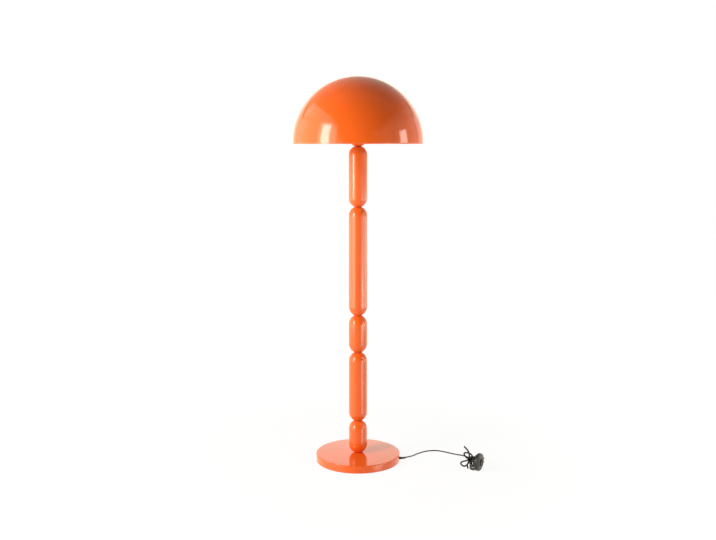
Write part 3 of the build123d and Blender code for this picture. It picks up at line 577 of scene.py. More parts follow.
def finish_mesh(
    work: bmesh.types.BMesh, name: str, place: Matrix | None = None, sharp: float = SHARP_EDGE
) -> bpy.types.Object:
    """Turn a working mesh into a smooth-shaded object.

    Args:
        work: Mesh under construction, freed here.
        name: Name of the object.
        place: Transform put into the mesh.
        sharp: Angle in degrees above which an edge stays sharp.

    Returns:
        The new object, linked to the scene.
    """
    bmesh.ops.remove_doubles(work, verts=work.verts, dist=MERGE_DISTANCE)
    bmesh.ops.recalc_face_normals(work, faces=work.faces)
    if place is not None:
        work.transform(place)
    mesh = bpy.data.meshes.new(name)
    work.to_mesh(mesh)
    work.free()
    mesh.shade_smooth()
    mesh.set_sharp_from_angle(angle=math.radians(sharp))
    made = bpy.data.objects.new(name, mesh)
    bpy.context.scene.collection.objects.link(made)
    return made


def make_flex(
    name: str, points: Sequence[Sequence[float]], diameter: float, cyclic: bool = False
) -> bpy.types.Object:
    """Make a round flexible tube along a smooth line.

    Args:
        name: Name of the object.
        points: Control points in metres.
        diameter: Outside diameter.
        cyclic: Whether the line closes on itself.

    Returns:
        The curve object.
    """
    curve = bpy.data.curves.new(name, "CURVE")
    curve.dimensions = "3D"
    curve.bevel_depth = diameter / 2
    curve.bevel_resolution = 5
    curve.resolution_u = 8
    curve.use_fill_caps = True
    line = curve.splines.new("NURBS")
    line.points.add(len(points) - 1)
    for control, point in zip(line.points, points):
        control.co = (*point, 1.0)
    line.order_u = 3
    line.use_endpoint_u = not cyclic
    line.use_cyclic_u = cyclic
    made = bpy.data.objects.new(name, curve)
    bpy.context.scene.collection.objects.link(made)
    return made


@dataclass(frozen=True)
class RingOfRibs:
    """Repeats a small piece round an axis with Geometry Nodes and makes the result a plain mesh."""

    count: int
    radius: float
    height: float

    def apply(self, rib: bpy.types.Object, name: str, finish: Finish) -> bpy.types.Object:
        """Repeat the rib.

        Args:
            rib: Object to repeat, with its outside along +X; it is used up.
            name: Name of the result.
            finish: Finish of the result.

        Returns:
            One plain mesh object.
        """
        sizes = {
            "Count": ("NodeSocketInt", self.count),
            "Radius": ("NodeSocketFloat", self.radius),
            "Height": ("NodeSocketFloat", self.height),
            "Angle": ("NodeSocketFloat", 2 * math.pi / self.count),
        }
        group = bpy.data.node_groups.new(name + "_pattern", "GeometryNodeTree")
        group.interface.new_socket("Geometry", in_out="OUTPUT", socket_type="NodeSocketGeometry")
        group.interface.new_socket("Geometry", in_out="INPUT", socket_type="NodeSocketGeometry")
        holder = bpy.data.objects.new(name + "_holder", rib.data)
        bpy.context.scene.collection.objects.link(holder)
        settings = {}
        for label, (kind, value) in sizes.items():
            socket = group.interface.new_socket(label, in_out="INPUT", socket_type=kind)
            settings[socket.identifier] = value
        self._fill(group, finish)
        modifier = holder.modifiers.new("pattern", "NODES")
        modifier.node_group = group
        for identifier, value in settings.items():
            modifier[identifier] = value
        bpy.context.view_layer.update()
        graph = bpy.context.evaluated_depsgraph_get()
        mesh = bpy.data.meshes.new_from_object(holder.evaluated_get(graph))
        mesh.name = name
        made = bpy.data.objects.new(name, mesh)
        bpy.context.scene.collection.objects.link(made)
        bpy.data.objects.remove(holder)
        bpy.data.objects.remove(rib)
        bpy.data.node_groups.remove(group)
        return made

    @staticmethod
    def _fill(tree: bpy.types.NodeTree, finish: Finish) -> None:
        """Put the pattern's nodes in its group.

        Args:
            tree: The group, with its sockets made.
            finish: Finish of the copies.
        """
        given = add_node(tree, "NodeGroupInput").outputs
        circle = {"Vertices": given["Count"], "Radius": given["Radius"]}
        ring = add_node(tree, "GeometryNodeMeshCircle", circle)
        index = add_node(tree, "GeometryNodeInputIndex")
        turn = add_node(tree, "ShaderNodeMath", {0: index, 1: given["Angle"]}, operation="MULTIPLY")
        angles = add_node(tree, "ShaderNodeCombineXYZ", {"Z": turn})
        copies = add_node(
            tree,
            "GeometryNodeInstanceOnPoints",
            {"Points": ring, "Instance": given["Geometry"], "Rotation": angles},
        )
        lift = add_node(tree, "ShaderNodeCombineXYZ", {"Z": given["Height"]})
        lifted = add_node(tree, "GeometryNodeTransform", {"Geometry": copies, "Translation": lift})
        whole = add_node(tree, "GeometryNodeRealizeInstances", {"Geometry": lifted})
        coloured = add_node(
            tree, "GeometryNodeSetMaterial", {"Geometry": whole, "Material": finish.material()}
        )
        add_node(tree, "NodeGroupOutput", {0: coloured})


# --------------------------------------------------------------------------- pieces and bodies


class Body(Enum):
    """Rigid bodies of the lamp."""

    LAMP = "lamp"
    BULB = "bulb"
    BUTTON = "button"


class Pieces:
    """Puts finished pieces on the lamp's bodies."""

    @staticmethod
    def put(
        piece: bpy.types.Object,
        finish: Finish,
        slot: str,
        body: Body = Body.LAMP,
        replaces: Iterable[str] = (),
    ) -> bpy.types.Object:
        """Give a piece its finish, its body and the nodes that it stands for.

        Args:
            piece: The object.
            finish: Its surface.
            slot: Name of the record's material slot; not used.
            body: Body that it moves with.
            replaces: Nodes that it stands for.

        Returns:
            The same object.
        """
        if not piece.data.materials:
            piece.data.materials.append(finish.material())
        else:
            piece.data.materials[0] = finish.material()
        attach(piece, body.value)
        names = list(replaces)
        if names:
            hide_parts(*names)
        LOG.info("%s: %s, rides on the %s", piece.name, finish.name, body.value)
        return piece

    @staticmethod
    def dress(nodes: dict[str, bpy.types.Object], names: Iterable[str], finish: Finish) -> None:
        """Give nodes that stay in view their finish.

        Args:
            nodes: All nodes by name.
            names: Nodes to dress.
            finish: Their surface.
        """
        for name in names:
            mesh = nodes[name].data
            mesh.materials.clear()
            mesh.materials.append(finish.material())
            mesh.shade_smooth()
            mesh.set_sharp_from_angle(angle=math.radians(SHARP_CARRIED_EDGE))
            LOG.info("%s: %s, as packed", name, finish.name)


# --------------------------------------------------------------------------- studio


@dataclass(frozen=True)
class Panel:
    """A soft light seen from the lamp; angles in degrees, azimuth from the camera's side towards +X."""

    name: str
    azimuth: float
    width: float
    bottom: float
    top: float
    distance: float
    radiance: float
    colour: str = STUDIO_WHITE

    def build(self) -> bpy.types.Object:
        """Make the area light.

        Returns:
            The light object.
        """
        turn = math.radians(self.azimuth)
        outward = Vector((math.sin(turn), -math.cos(turn), 0.0))
        height = self.top - self.bottom
        centre = outward * self.distance + Vector((0.0, 0.0, (self.top + self.bottom) / 2))
        light = bpy.data.lights.new(self.name, "AREA")
        light.shape = "RECTANGLE"
        light.size = self.width
        light.size_y = height
        light.color = linear(self.colour)[:3]
        light.energy = self.radiance * math.pi * self.width * height
        made = bpy.data.objects.new(self.name, light)
        made.matrix_world = Matrix.Translation(centre) @ outward.to_track_quat("Z", "Y").to_matrix().to_4x4()
        made.visible_camera = False
        bpy.context.scene.collection.objects.link(made)
        return made


@dataclass(frozen=True)
class Blend:
    """A soft blend between two levels, while a value passes from start to end."""

    start: float
    end: float
    low: float
    high: float

    def settings(self, value: bpy.types.NodeSocket | bpy.types.Node) -> dict:
        """Give the inputs of a Map Range node that makes the blend.

        Args:
            value: What the blend follows.

        Returns:
            Inputs by name.
        """
        limits = {"From Min": self.start, "From Max": self.end, "To Min": self.low, "To Max": self.high}
        return {"Value": value, **limits}


@dataclass(frozen=True)
class Studio:
    """White studio: camera at the photograph's place, panels left and right, white floor and backdrop."""

    focal_px: float = 912.0
    picture_width: int = 716
    sensor_mm: float = 36.0
    view_depth: float = 60.0
    distance: float = 3.5
    height: float = 1.245
    tilt: float = math.radians(7.87)
    # What shiny surfaces see, by direction. The backdrop is lit where neither |x| nor z, times its
    # factor here, is more than y.
    backdrop_shape: Point2 = (0.83, 2.0)
    backdrop: Blend = Blend(-0.04, 0.0, 1.45, 0.0)
    # The room round the backdrop: dark on the camera's side, brighter towards the back.
    outside: Blend = Blend(0.05, 0.15, 0.0, 1.0)
    front: Blend = Blend(-0.6, 0.0, 0.05, 0.32)
    behind: Blend = Blend(0.1, 0.85, 0.0, 0.5)
    # The floor: brighter to the sides than in front and behind, with a pool of light at the front right.
    below: Blend = Blend(0.0, -0.04, 0.0, 1.0)
    ground: Blend = Blend(0.35, 0.75, 0.8, 1.7)
    pool_heading: Point2 = (0.83, 0.56)
    pool: Blend = Blend(0.90, 0.96, 0.0, 3.4)
    pool_depth: Blend = Blend(-0.08, -0.2, 0.0, 1.0)
    # Light of the world itself on the object.
    world_fill: float = 0.03
    floor_half: float = 9.0
    # The floor's paint, and how much less of it the camera sees, which leaves its shadow faint.
    floor_grey: float = 0.82
    floor_unseen: float = -0.74
    floor_glow: Blend = Blend(0.5, 1.6, 0.93, 1.0)
    panels: tuple[Panel, ...] = (
        Panel("key_softbox", -56.3, 0.70, 0.87, 2.50, 2.60, 14.0),
        Panel("key_halo", -54.0, 1.60, 0.00, 2.70, 2.65, 2.6),
        Panel("left_low", -77.0, 6.60, 0.00, 1.60, 2.70, 1.55),
        Panel("left_middle", -81.0, 5.70, 1.60, 2.60, 2.70, 1.55),
        Panel("left_high", -87.0, 4.60, 2.60, 3.70, 2.70, 1.65),
        Panel("right_strip", 82.0, 0.70, 1.20, 1.95, 2.60, 8.0),
        Panel("right_wide", 80.0, 7.15, 0.00, 2.60, 2.70, 0.32),
        Panel("right_near", 88.0, 5.60, 0.00, 3.20, 2.75, 0.32),
        Panel("right_low", 85.0, 4.00, 0.00, 0.90, 2.65, 2.2),
        Panel("right_foot", 56.0, 0.50, 0.00, 0.40, 2.60, 3.0),
        Panel("back_fill", 180.0, 4.60, 0.30, 3.40, 3.20, 0.5),
    )

    def build(self) -> None:
        """Set up camera, colour handling, world, floor and lights."""
        scene = bpy.context.scene
        scene.view_settings.view_transform = "Standard"
        self._camera()
        self._world()
        self._floor()
        for panel in self.panels:
            panel.build()

    def _camera(self) -> None:
        """Make the camera that matches the photograph."""
        data = bpy.data.cameras.new("camera")
        data.sensor_width = self.sensor_mm
        data.lens = self.focal_px / self.picture_width * self.sensor_mm
        data.clip_end = self.view_depth
        camera = bpy.data.objects.new("camera", data)
        camera.location = (0.0, -self.distance, self.height)
        camera.rotation_euler = (math.pi / 2 - self.tilt, 0.0, 0.0)
        bpy.context.scene.collection.objects.link(camera)
        bpy.context.scene.camera = camera

    def _surround(self, tree: bpy.types.NodeTree) -> bpy.types.Node:
        """Give what shiny surfaces see: a bright backdrop and floor, and a dark studio in front and above.

        Args:
            tree: The world's node tree.

        Returns:
            Node with the strength.
        """
        direction = add_node(tree, "ShaderNodeTexCoord").outputs["Generated"]
        x, y, z = add_node(tree, "ShaderNodeSeparateXYZ", {0: direction}).outputs
        across, upward = self.backdrop_shape
        right, near = self.pool_heading
        known: dict[str, bpy.types.NodeSocket | bpy.types.Node] = {"x": x, "y": y, "z": z}
        # Each step: its name, the arithmetic or the blend, and the earlier steps or numbers that it takes.
        steps = (
            ("side", "ABSOLUTE", "x"),
            ("wide", "MULTIPLY", "side", across),
            ("high", "MULTIPLY", "z", upward),
            ("steepest", "MAXIMUM", "wide", "high"),
            ("edge", "SUBTRACT", "steepest", "y"),
            ("to_right", "MULTIPLY", "x", right),
            ("to_back", "MULTIPLY", "y", near),
            ("toward", "SUBTRACT", "to_right", "to_back"),
            ("backdrop", self.backdrop, "edge"),
            ("front", self.front, "y"),
            ("behind", self.behind, "y"),
            ("outside", self.outside, "edge"),
            ("pool_side", self.pool, "toward"),
            ("pool_depth", self.pool_depth, "z"),
            ("ground", self.ground, "side"),
            ("below", self.below, "z"),
            ("ceiling", "ADD", "front", "behind"),
            ("above", "MULTIPLY", "outside", "ceiling"),
            ("pool", "MULTIPLY", "pool_side", "pool_depth"),
            ("lit_ground", "ADD", "ground", "pool"),
            ("floor", "MULTIPLY", "below", "lit_ground"),
            ("sky", "ADD", "backdrop", "above"),
            ("strength", "MAXIMUM", "sky", "floor"),
        )
        for name, rule, *terms in steps:
            values = [known[term] if isinstance(term, str) else term for term in terms]
            if isinstance(rule, Blend):
                soft = rule.settings(values[0])
                known[name] = add_node(tree, "ShaderNodeMapRange", soft, interpolation_type="SMOOTHSTEP")
            else:
                known[name] = add_node(tree, "ShaderNodeMath", dict(enumerate(values)), operation=rule)
        return known["strength"]

    def _world(self) -> None:
        """Make a surround that is white to the camera and lights almost nothing itself."""
        world = bpy.data.worlds.new("studio")
        world.use_nodes = True
        tree = world.node_tree
        tree.nodes.clear()
        rays = add_node(tree, "ShaderNodeLightPath").outputs
        diffuse, glossy = rays["Is Diffuse Ray"], rays["Is Glossy Ray"]
        through = {0: rays["Is Camera Ray"], 1: rays["Is Transmission Ray"]}
        soft = add_node(tree, "ShaderNodeMath", {0: diffuse, 1: self.world_fill}, operation="MULTIPLY")
        shiny = add_node(tree, "ShaderNodeMath", {0: glossy, 1: self._surround(tree)}, operation="MULTIPLY")
        clear = add_node(tree, "ShaderNodeMath", through, operation="MAXIMUM")
        lit = add_node(tree, "ShaderNodeMath", {0: soft, 1: shiny}, operation="ADD")
        glow = add_node(tree, "ShaderNodeBackground", {"Color": linear(STUDIO_WHITE), "Strength": lit})
        plain = add_node(tree, "ShaderNodeBackground", {"Color": PLAIN_WHITE, "Strength": clear})
        both = add_node(tree, "ShaderNodeAddShader", {0: glow, 1: plain})
        add_node(tree, "ShaderNodeOutputWorld", {"Surface": both})
        bpy.context.scene.world = world

    def _floor(self) -> None:
        """Make the pale floor, white to the camera apart from a faint contact shadow."""
        work = bmesh.new()
        bmesh.ops.create_grid(work, x_segments=2, y_segments=2, size=self.floor_half)
        floor = finish_mesh(work, "floor")
        paint = bpy.data.materials.new("white_floor")
        paint.use_nodes = True
        tree = paint.node_tree
        tree.nodes.clear()
        seen = add_node(tree, "ShaderNodeLightPath").outputs["Is Camera Ray"]
        shares = {0: seen, 1: self.floor_unseen, 2: self.floor_grey}
        grey = add_node(tree, "ShaderNodeMath", shares, operation="MULTIPLY_ADD")
        matt = add_node(tree, "ShaderNodeBsdfDiffuse", {"Color": grey})
        place = add_node(tree, "ShaderNodeTexCoord").outputs["Object"]
        away = add_node(tree, "ShaderNodeVectorMath", {0: place}, operation="LENGTH").outputs["Value"]
        limits = self.floor_glow.settings(away)
        glow = add_node(tree, "ShaderNodeMapRange", limits, interpolation_type="SMOOTHSTEP")
        strength = add_node(tree, "ShaderNodeMath", {0: seen, 1: glow}, operation="MULTIPLY")
        white = add_node(tree, "ShaderNodeEmission", {"Color": PLAIN_WHITE, "Strength": strength})
        both = add_node(tree, "ShaderNodeAddShader", {0: matt, 1: white})
        add_node(tree, "ShaderNodeOutputMaterial", {"Surface": both})
        floor.data.materials.append(paint)
        floor.visible_glossy = False


# --------------------------------------------------------------------------- flex, hank and tie


@dataclass(frozen=True)
class HankShape:
    """Where the hank lies and how its loops are piled; only the waist is lifted more than in its solids."""

    # Centres of the two end turns.
    near: Vector = field(default_factory=lambda: Vector((0.4462, -0.1150, 0.0)))
    far: Vector = field(default_factory=lambda: Vector((0.4456, -0.0640, 0.0)))
    turn_radius: float = 0.012
    step: float = 0.0062
    waist_half: float = 0.0029
    waist_lift: float = 0.0063
    # How much wider than the tightest each of the turns is.
    looseness: tuple[float, ...] = (0.0, 0.0012, 0.0005, 0.0016, 0.0009)
    # Height of the lowest layer's middle.
    floor: float = 0.0025
    turn_points: int = 8
    turn_step: float = 30.0
    # Along a run: share of the way from the waist to a turn, share of that turn's width, and which turn.
    run_shape: tuple[tuple[float, float, int], ...] = (
        (0.70, 0.88, 0), (0.30, 0.12, 0), (0.0, 0.0, 0), (0.30, 0.12, 1), (0.70, 0.88, 1),
    )

    @property
    def along(self) -> Vector:
        """Direction towards the far end."""
        return (self.far - self.near).normalized()

    @property
    def right(self) -> Vector:
        """Direction to the right."""
        along = self.along
        return Vector((along.y, -along.x, 0.0))

    @property
    def half(self) -> float:
        """Half the distance between the end turns' centres."""
        return (self.far - self.near).length / 2

    def place(self, run: float, across: float, level: float, lift: float = 0.0) -> Vector:
        """Find a place in the hank.

        Args:
            run: Distance towards the far end from the middle.
            across: Distance to the right.
            level: Layer, from the floor up.
            lift: Extra height.

        Returns:
            The place in metres.
        """
        middle = (self.near + self.far) / 2
        height = self.floor + level * self.step + lift
        return middle + self.along * run + self.right * across + UP * height

    def turn(self, end: int, level: float, clockwise: bool, wider: float) -> list[Vector]:
        """Give the control points round an end turn.

        Args:
            end: 1 at the far end and -1 at the near end.
            level: Layer of the turn.
            clockwise: Direction of the loop, seen from above.
            wider: How much wider the turn is than the tightest.

        Returns:
            Control points, the first and last on the straight runs beside the turn.
        """
        radius = self.turn_radius + wider
        first = -end if clockwise else end
        reach = radius / math.cos(math.radians(self.turn_step / 2))
        points = []
        for step in range(self.turn_points):
            angle = math.radians(self.turn_step * (step - 0.5))
            run = end * (self.half + reach * math.sin(angle))
            points.append(self.place(run, first * reach * math.cos(angle), level))
        return points

    def run(self, side: int, heading: int, levels: Point3, wider: Point2) -> list[Vector]:
        """Give the control points of a run between two end turns, drawn in at the waist.

        Args:
            side: 1 on the right and -1 on the left.
            heading: 1 towards the far end and -1 towards the near end.
            levels: Layers at the run's start, under the tie and at its end.
            wider: How much wider the first and the last turn are than the tightest.

        Returns:
            Five control points.
        """
        points = []
        for share, out, last in self.run_shape:
            spread = self.turn_radius + wider[last]
            level = levels[1] + (levels[2 * last] - levels[1]) * share
            across = side * (self.waist_half + (spread - self.waist_half) * out)
            where = (share if last else -share) * heading
            points.append(self.place(where * self.half, across, level, self.waist_lift * (1.0 - out)))
        return points


@dataclass(frozen=True)
class FlexRoutes:
    """Routes of the flex's two free stretches, as control points in metres."""

    hank: HankShape = field(default_factory=HankShape)
    # How far the flex runs straight out of a sleeve of the switch.
    straight: float = 0.008
    exit: Point3 = mm(190.005, -1.974, 7.5)
    lead: tuple[Point3, ...] = (
        mm(201.2, 6.4, 7.5),
        mm(218.0, 26.0, 3.6),
        mm(243.0, 60.0, 2.5),
        mm(279.0, 90.0, 2.5),
        mm(322.0, 97.5, 2.5),
        mm(356.0, 77.0, 2.5),
        mm(390.0, 51.0, 2.5),
        mm(426.0, 33.0, 2.5),
        mm(443.0, 13.0, 2.5),
        mm(456.5, -31.7, 2.5),
        mm(457.1, -55.7, 2.5),
    )
    to_switch: tuple[Point3, ...] = (
        mm(452.0, -50.2, 14.9),
        mm(464.5, -54.0, 15.3),
        mm(476.5, -59.8, 16.2),
        mm(483.6, -69.3, 17.6),
        mm(487.2, -79.0, 18.9),
    )
    from_switch: tuple[Point3, ...] = (
        mm(487.4, -78.0, 32.0),
        mm(483.8, -68.0, 30.6),
        mm(476.5, -59.6, 29.2),
        mm(464.5, -54.2, 28.0),
        mm(452.0, -50.6, 27.3),
    )
    tail: tuple[Point3, ...] = (
        mm(460.2, -104.0, 13.9),
        mm(463.5, -94.5, 12.6),
        mm(470.5, -85.0, 10.9),
        mm(477.5, -76.0, 8.8),
        mm(482.3, -66.5, 7.4),
        mm(484.0, -57.0, 6.85),
        mm(484.0, -48.0, 6.85),
        mm(484.0, -38.0, 6.85),
    )

    def lamp_side(self, entry: Matrix) -> list[Sequence[float]]:
        """Route from the grommet through two clockwise loops to the switch.

        Args:
            entry: Tip of the switch's lower sleeve; its local Z points out of the switch.

        Returns:
            Control points.
        """
        hank = self.hank
        loose = hank.looseness
        points: list[Sequence[float]] = [self.exit, *self.lead]
        points += hank.run(1, -1, (0, 0, 0), (loose[0], loose[0]))
        points += hank.turn(-1, 0, True, loose[0])
        points += hank.run(-1, 1, (0, 0.5, 1), (loose[0], loose[2]))
        points += hank.turn(1, 1, True, loose[2])
        points += hank.run(1, -1, (1, 1, 1), (loose[2], loose[1]))
        points += hank.turn(-1, 1, True, loose[1])
        points += hank.run(-1, 1, (1, 1.5, 2), (loose[1], loose[3]))
        points += hank.turn(1, 2, True, loose[3])[:4]
        points += [*self.to_switch, entry @ (UP * self.straight), entry.translation]
        return points

    def plug_side(self, entry: Matrix) -> list[Sequence[float]]:
        """Route from the switch through two anticlockwise loops to the plug.

        Args:
            entry: Tip of the switch's upper sleeve; its local Z points out of the switch.

        Returns:
            Control points.
        """
        hank = self.hank
        loose = hank.looseness
        points: list[Sequence[float]] = [entry.translation, entry @ (UP * self.straight), *self.from_switch]
        points += hank.turn(1, 4, False, loose[1])[4:]
        points += hank.run(-1, -1, (4, 3.5, 3), (loose[1], loose[3]))
        points += hank.turn(-1, 3, False, loose[3])
        points += hank.run(1, 1, (3, 2, 3), (loose[3], loose[2]))
        points += hank.turn(1, 3, False, loose[2])
        points += hank.run(-1, -1, (3, 2.5, 2), (loose[2], loose[4]))
        points += hank.turn(-1, 2, False, loose[4])
        points += self.tail
        return points


@dataclass(frozen=True)
class SwitchShape:
    """Place and sizes of the foot switch, which stands on its edge."""

    centre: Vector = field(default_factory=lambda: Vector((0.4652, -0.129, 0.034)))
    facing: float = math.radians(31.0)
    radius: float = 0.034
    half: float = 0.006
    crown: float = 0.004
    wall: float = 0.002
    button_radius: float = 0.013
    button_gap: float = 0.0003
    button_proud: float = 0.003
    button_depth: float = 0.010
    entry_angle: float = math.radians(8.0)
    entry_spacing: float = 0.013
    sleeve: float = 0.008

    @property
    def place(self) -> Matrix:
        """Transform of the switch's own frame.

        Returns:
            The transform; local Z is the way the switch's face looks, and local Y is up.
        """
        normal = Vector((math.cos(self.facing), -math.sin(self.facing), 0.0))
        level = Vector((math.sin(self.facing), math.cos(self.facing), 0.0))
        third = normal.cross(level)
        turn = Matrix((level, third, normal)).transposed().to_4x4()
        return Matrix.Translation(self.centre) @ turn

    def entry(self, side: int) -> Matrix:
        """Find a flex entry; its local Z points out of the rim.

        Args:
            side: -1 for the lower entry and 1 for the upper one.

        Returns:
            Transform of the entry, at the middle of the switch.
        """
        out = Vector((math.cos(self.entry_angle), -math.sin(self.entry_angle), 0.0))
        across = Vector((math.sin(self.entry_angle), math.cos(self.entry_angle), 0.0))
        turn = Matrix((UP, out.cross(UP), out)).transposed().to_4x4()
        return self.place @ Matrix.Translation(across * (side * self.entry_spacing / 2)) @ turn

    @property
    def rim_depth(self) -> float:
        """Distance from the middle to the rim along an entry."""
        return math.sqrt(self.radius**2 - (self.entry_spacing / 2) ** 2)

    def tip(self, side: int) -> Matrix:
        """Find the tip of a sleeve.

        Args:
            side: -1 for the lower entry and 1 for the upper one.

        Returns:
            Transform of the tip; its local Z points out of the switch.
        """
        return self.entry(side) @ Matrix.Translation((0.0, 0.0, self.rim_depth + self.sleeve))


class FlexMaker:
    """Makes both free stretches of the flex."""

    def __init__(self, switch: SwitchShape) -> None:
        """Keep the switch's shape.

        Args:
            switch: The foot switch that the flex runs through.
        """
        self.switch = switch
        self.routes = FlexRoutes()

    def build(
        self, tie: list[bpy.types.Object], switch: list[bpy.types.Object], plug: list[bpy.types.Object]
    ) -> None:
        """Args:
            tie: Pieces of the tie; not used.
            switch: Pieces of the foot switch; not used.
            plug: Pieces of the plug; not used.
        """
        lower, upper = self.switch.tip(-1), self.switch.tip(1)
        first = make_flex("flex_lamp_side", self.routes.lamp_side(lower), SIZES.flex_diameter)
        Pieces.put(first, PALETTE.flex, "black_flex", replaces=("cord_lead", "cord_hank_lamp"))
        second = make_flex("flex_plug_side", self.routes.plug_side(upper), SIZES.flex_diameter)
        Pieces.put(second, PALETTE.flex, "black_flex", replaces=("cord_hank_plug",))


@dataclass(frozen=True)
class TieShape:
    """The coated wire tie round the hank's waist."""

    diameter: float = 0.006
    gap: float = 0.0001
    floor_gap: float = 0.0002
    # Layer of the hank that the band passes over.
    top_level: float = 3.5
    # Reach of the band's corners, and thickness of the knot's wire, as shares of the diameter.
    corner: float = 0.9
    knot_wire: float = 0.95
    knot_radius: float = 0.008
    # Length of the knot as a share of its radius.
    knot_length: float = 1.3
    knot_turns: float = 2.5
    points_per_turn: int = 12
    # Each strand's points: millimetres to the left of the knot and beyond it, and height as a share
    # of the knot's own.
    strands: tuple[tuple[Point3, ...], ...] = (
        (
            (1.5, 1.0, 1.0), (9.0, 8.0, 1.05), (13.5, 19.0, 1.14), (16.1, 29.5, 1.28), (15.6, 39.5, 1.35),
            (8.5, 45.5, 1.35), (-1.0, 45.5, 1.31), (-8.0, 40.0, 1.28), (-12.5, 31.0, 1.24),
            (-14.0, 20.0, 1.2),
        ),
        (
            (0.5, -0.5, 0.97), (9.0, -1.0, 0.8), (18.0, 13.6, 0.53), (25.2, 28.8, 0.27), (30.2, 27.3, 0.07),
            (28.0, 15.2, 0.0), (22.7, 0.6, 0.0), (14.9, 0.6, 0.0), (8.2, 8.5, 0.05),
        ),
        ((0.2, -0.4, 0.9), (2.5, -3.5, 0.6), (7.5, -2.5, 0.32), (8.4, -9.0, 0.1), (7.6, -22.5, 0.0)),
        (
            (-0.5, 1.0, 1.03), (-1.9, 15.3, 1.14), (-3.8, 28.3, 1.35), (-2.1, 41.4, 1.57),
            (5.0, 49.0, 1.85), (13.1, 57.7, 2.07),
        ),
    )

    def build(self, hank: HankShape) -> list[bpy.types.Object]:
        """Make the band, the knot and the strands.

        Args:
            hank: The hank that the tie holds.

        Returns:
            The tie's pieces.
        """
        reach = SIZES.flex_diameter / 2 + self.gap + self.diameter / 2
        half = hank.waist_half + reach
        low = hank.floor + hank.waist_lift - reach
        high = hank.floor + hank.waist_lift + self.top_level * hank.step + reach
        middle = (hank.near + hank.far) / 2
        corner = self.diameter * self.corner
        band = []
        for side, height, level in ((-1, low, 1), (1, low, 1), (1, high, -1), (-1, high, -1)):
            base = middle + hank.right * side * half + UP * height
            points = [base + UP * level * corner, base, base + hank.right * -side * corner]
            band += points if side * level < 0 else reversed(points)
        beside = half + self.knot_radius - self.diameter / 2
        knot = middle - hank.right * beside + UP * (high - self.knot_radius / 2)
        pieces = [make_flex("tie_band", band, self.diameter, cyclic=True)]
        for index, strand in enumerate(self.strands, start=1):
            points = [self._place(hank, knot, *spot) for spot in strand]
            pieces.append(make_flex(f"tie_strand_{index}", points, self.diameter))
        pieces.append(self._knot(hank, knot))
        for piece in pieces:
            replaces = ("hank_tie",) if piece is pieces[0] else ()
            Pieces.put(piece, PALETTE.wire_tie, "tie_plastic", replaces=replaces)
        return pieces

    def _place(self, hank: HankShape, knot: Vector, left: float, far: float, height: float) -> Vector:
        """Find a place on a strand.

        Args:
            hank: The hank.
            knot: Place of the knot.
            left: Millimetres to the left of the knot.
            far: Millimetres beyond the knot.
            height: Height as a share of the knot's own.

        Returns:
            The place in metres.
        """
        floor = self.diameter / 2 + self.floor_gap
        flat = knot - hank.right * left / MM_PER_METRE + hank.along * far / MM_PER_METRE
        return Vector((flat.x, flat.y, floor + height * (knot.z - floor)))

    def _knot(self, hank: HankShape, knot: Vector) -> bpy.types.Object:
        """Make the knot as a short wrap of wire.

        Args:
            hank: The hank.
            knot: Place of the knot.

        Returns:
            The knot.
        """
        points = []
        count = int(self.knot_turns * self.points_per_turn)
        radius = self.knot_radius - self.diameter / 2
        for step in range(count + 1):
            share = step / count
            angle = 2 * math.pi * self.knot_turns * share
            shift = hank.along * (share - 0.5) * self.knot_length * self.knot_radius
            spoke = hank.right * radius * math.cos(angle) + UP * radius * math.sin(angle)
            points.append(knot + shift + spoke)
        return make_flex("tie_knot", points, self.diameter * self.knot_wire)


# --------------------------------------------------------------------------- base, stem and shade


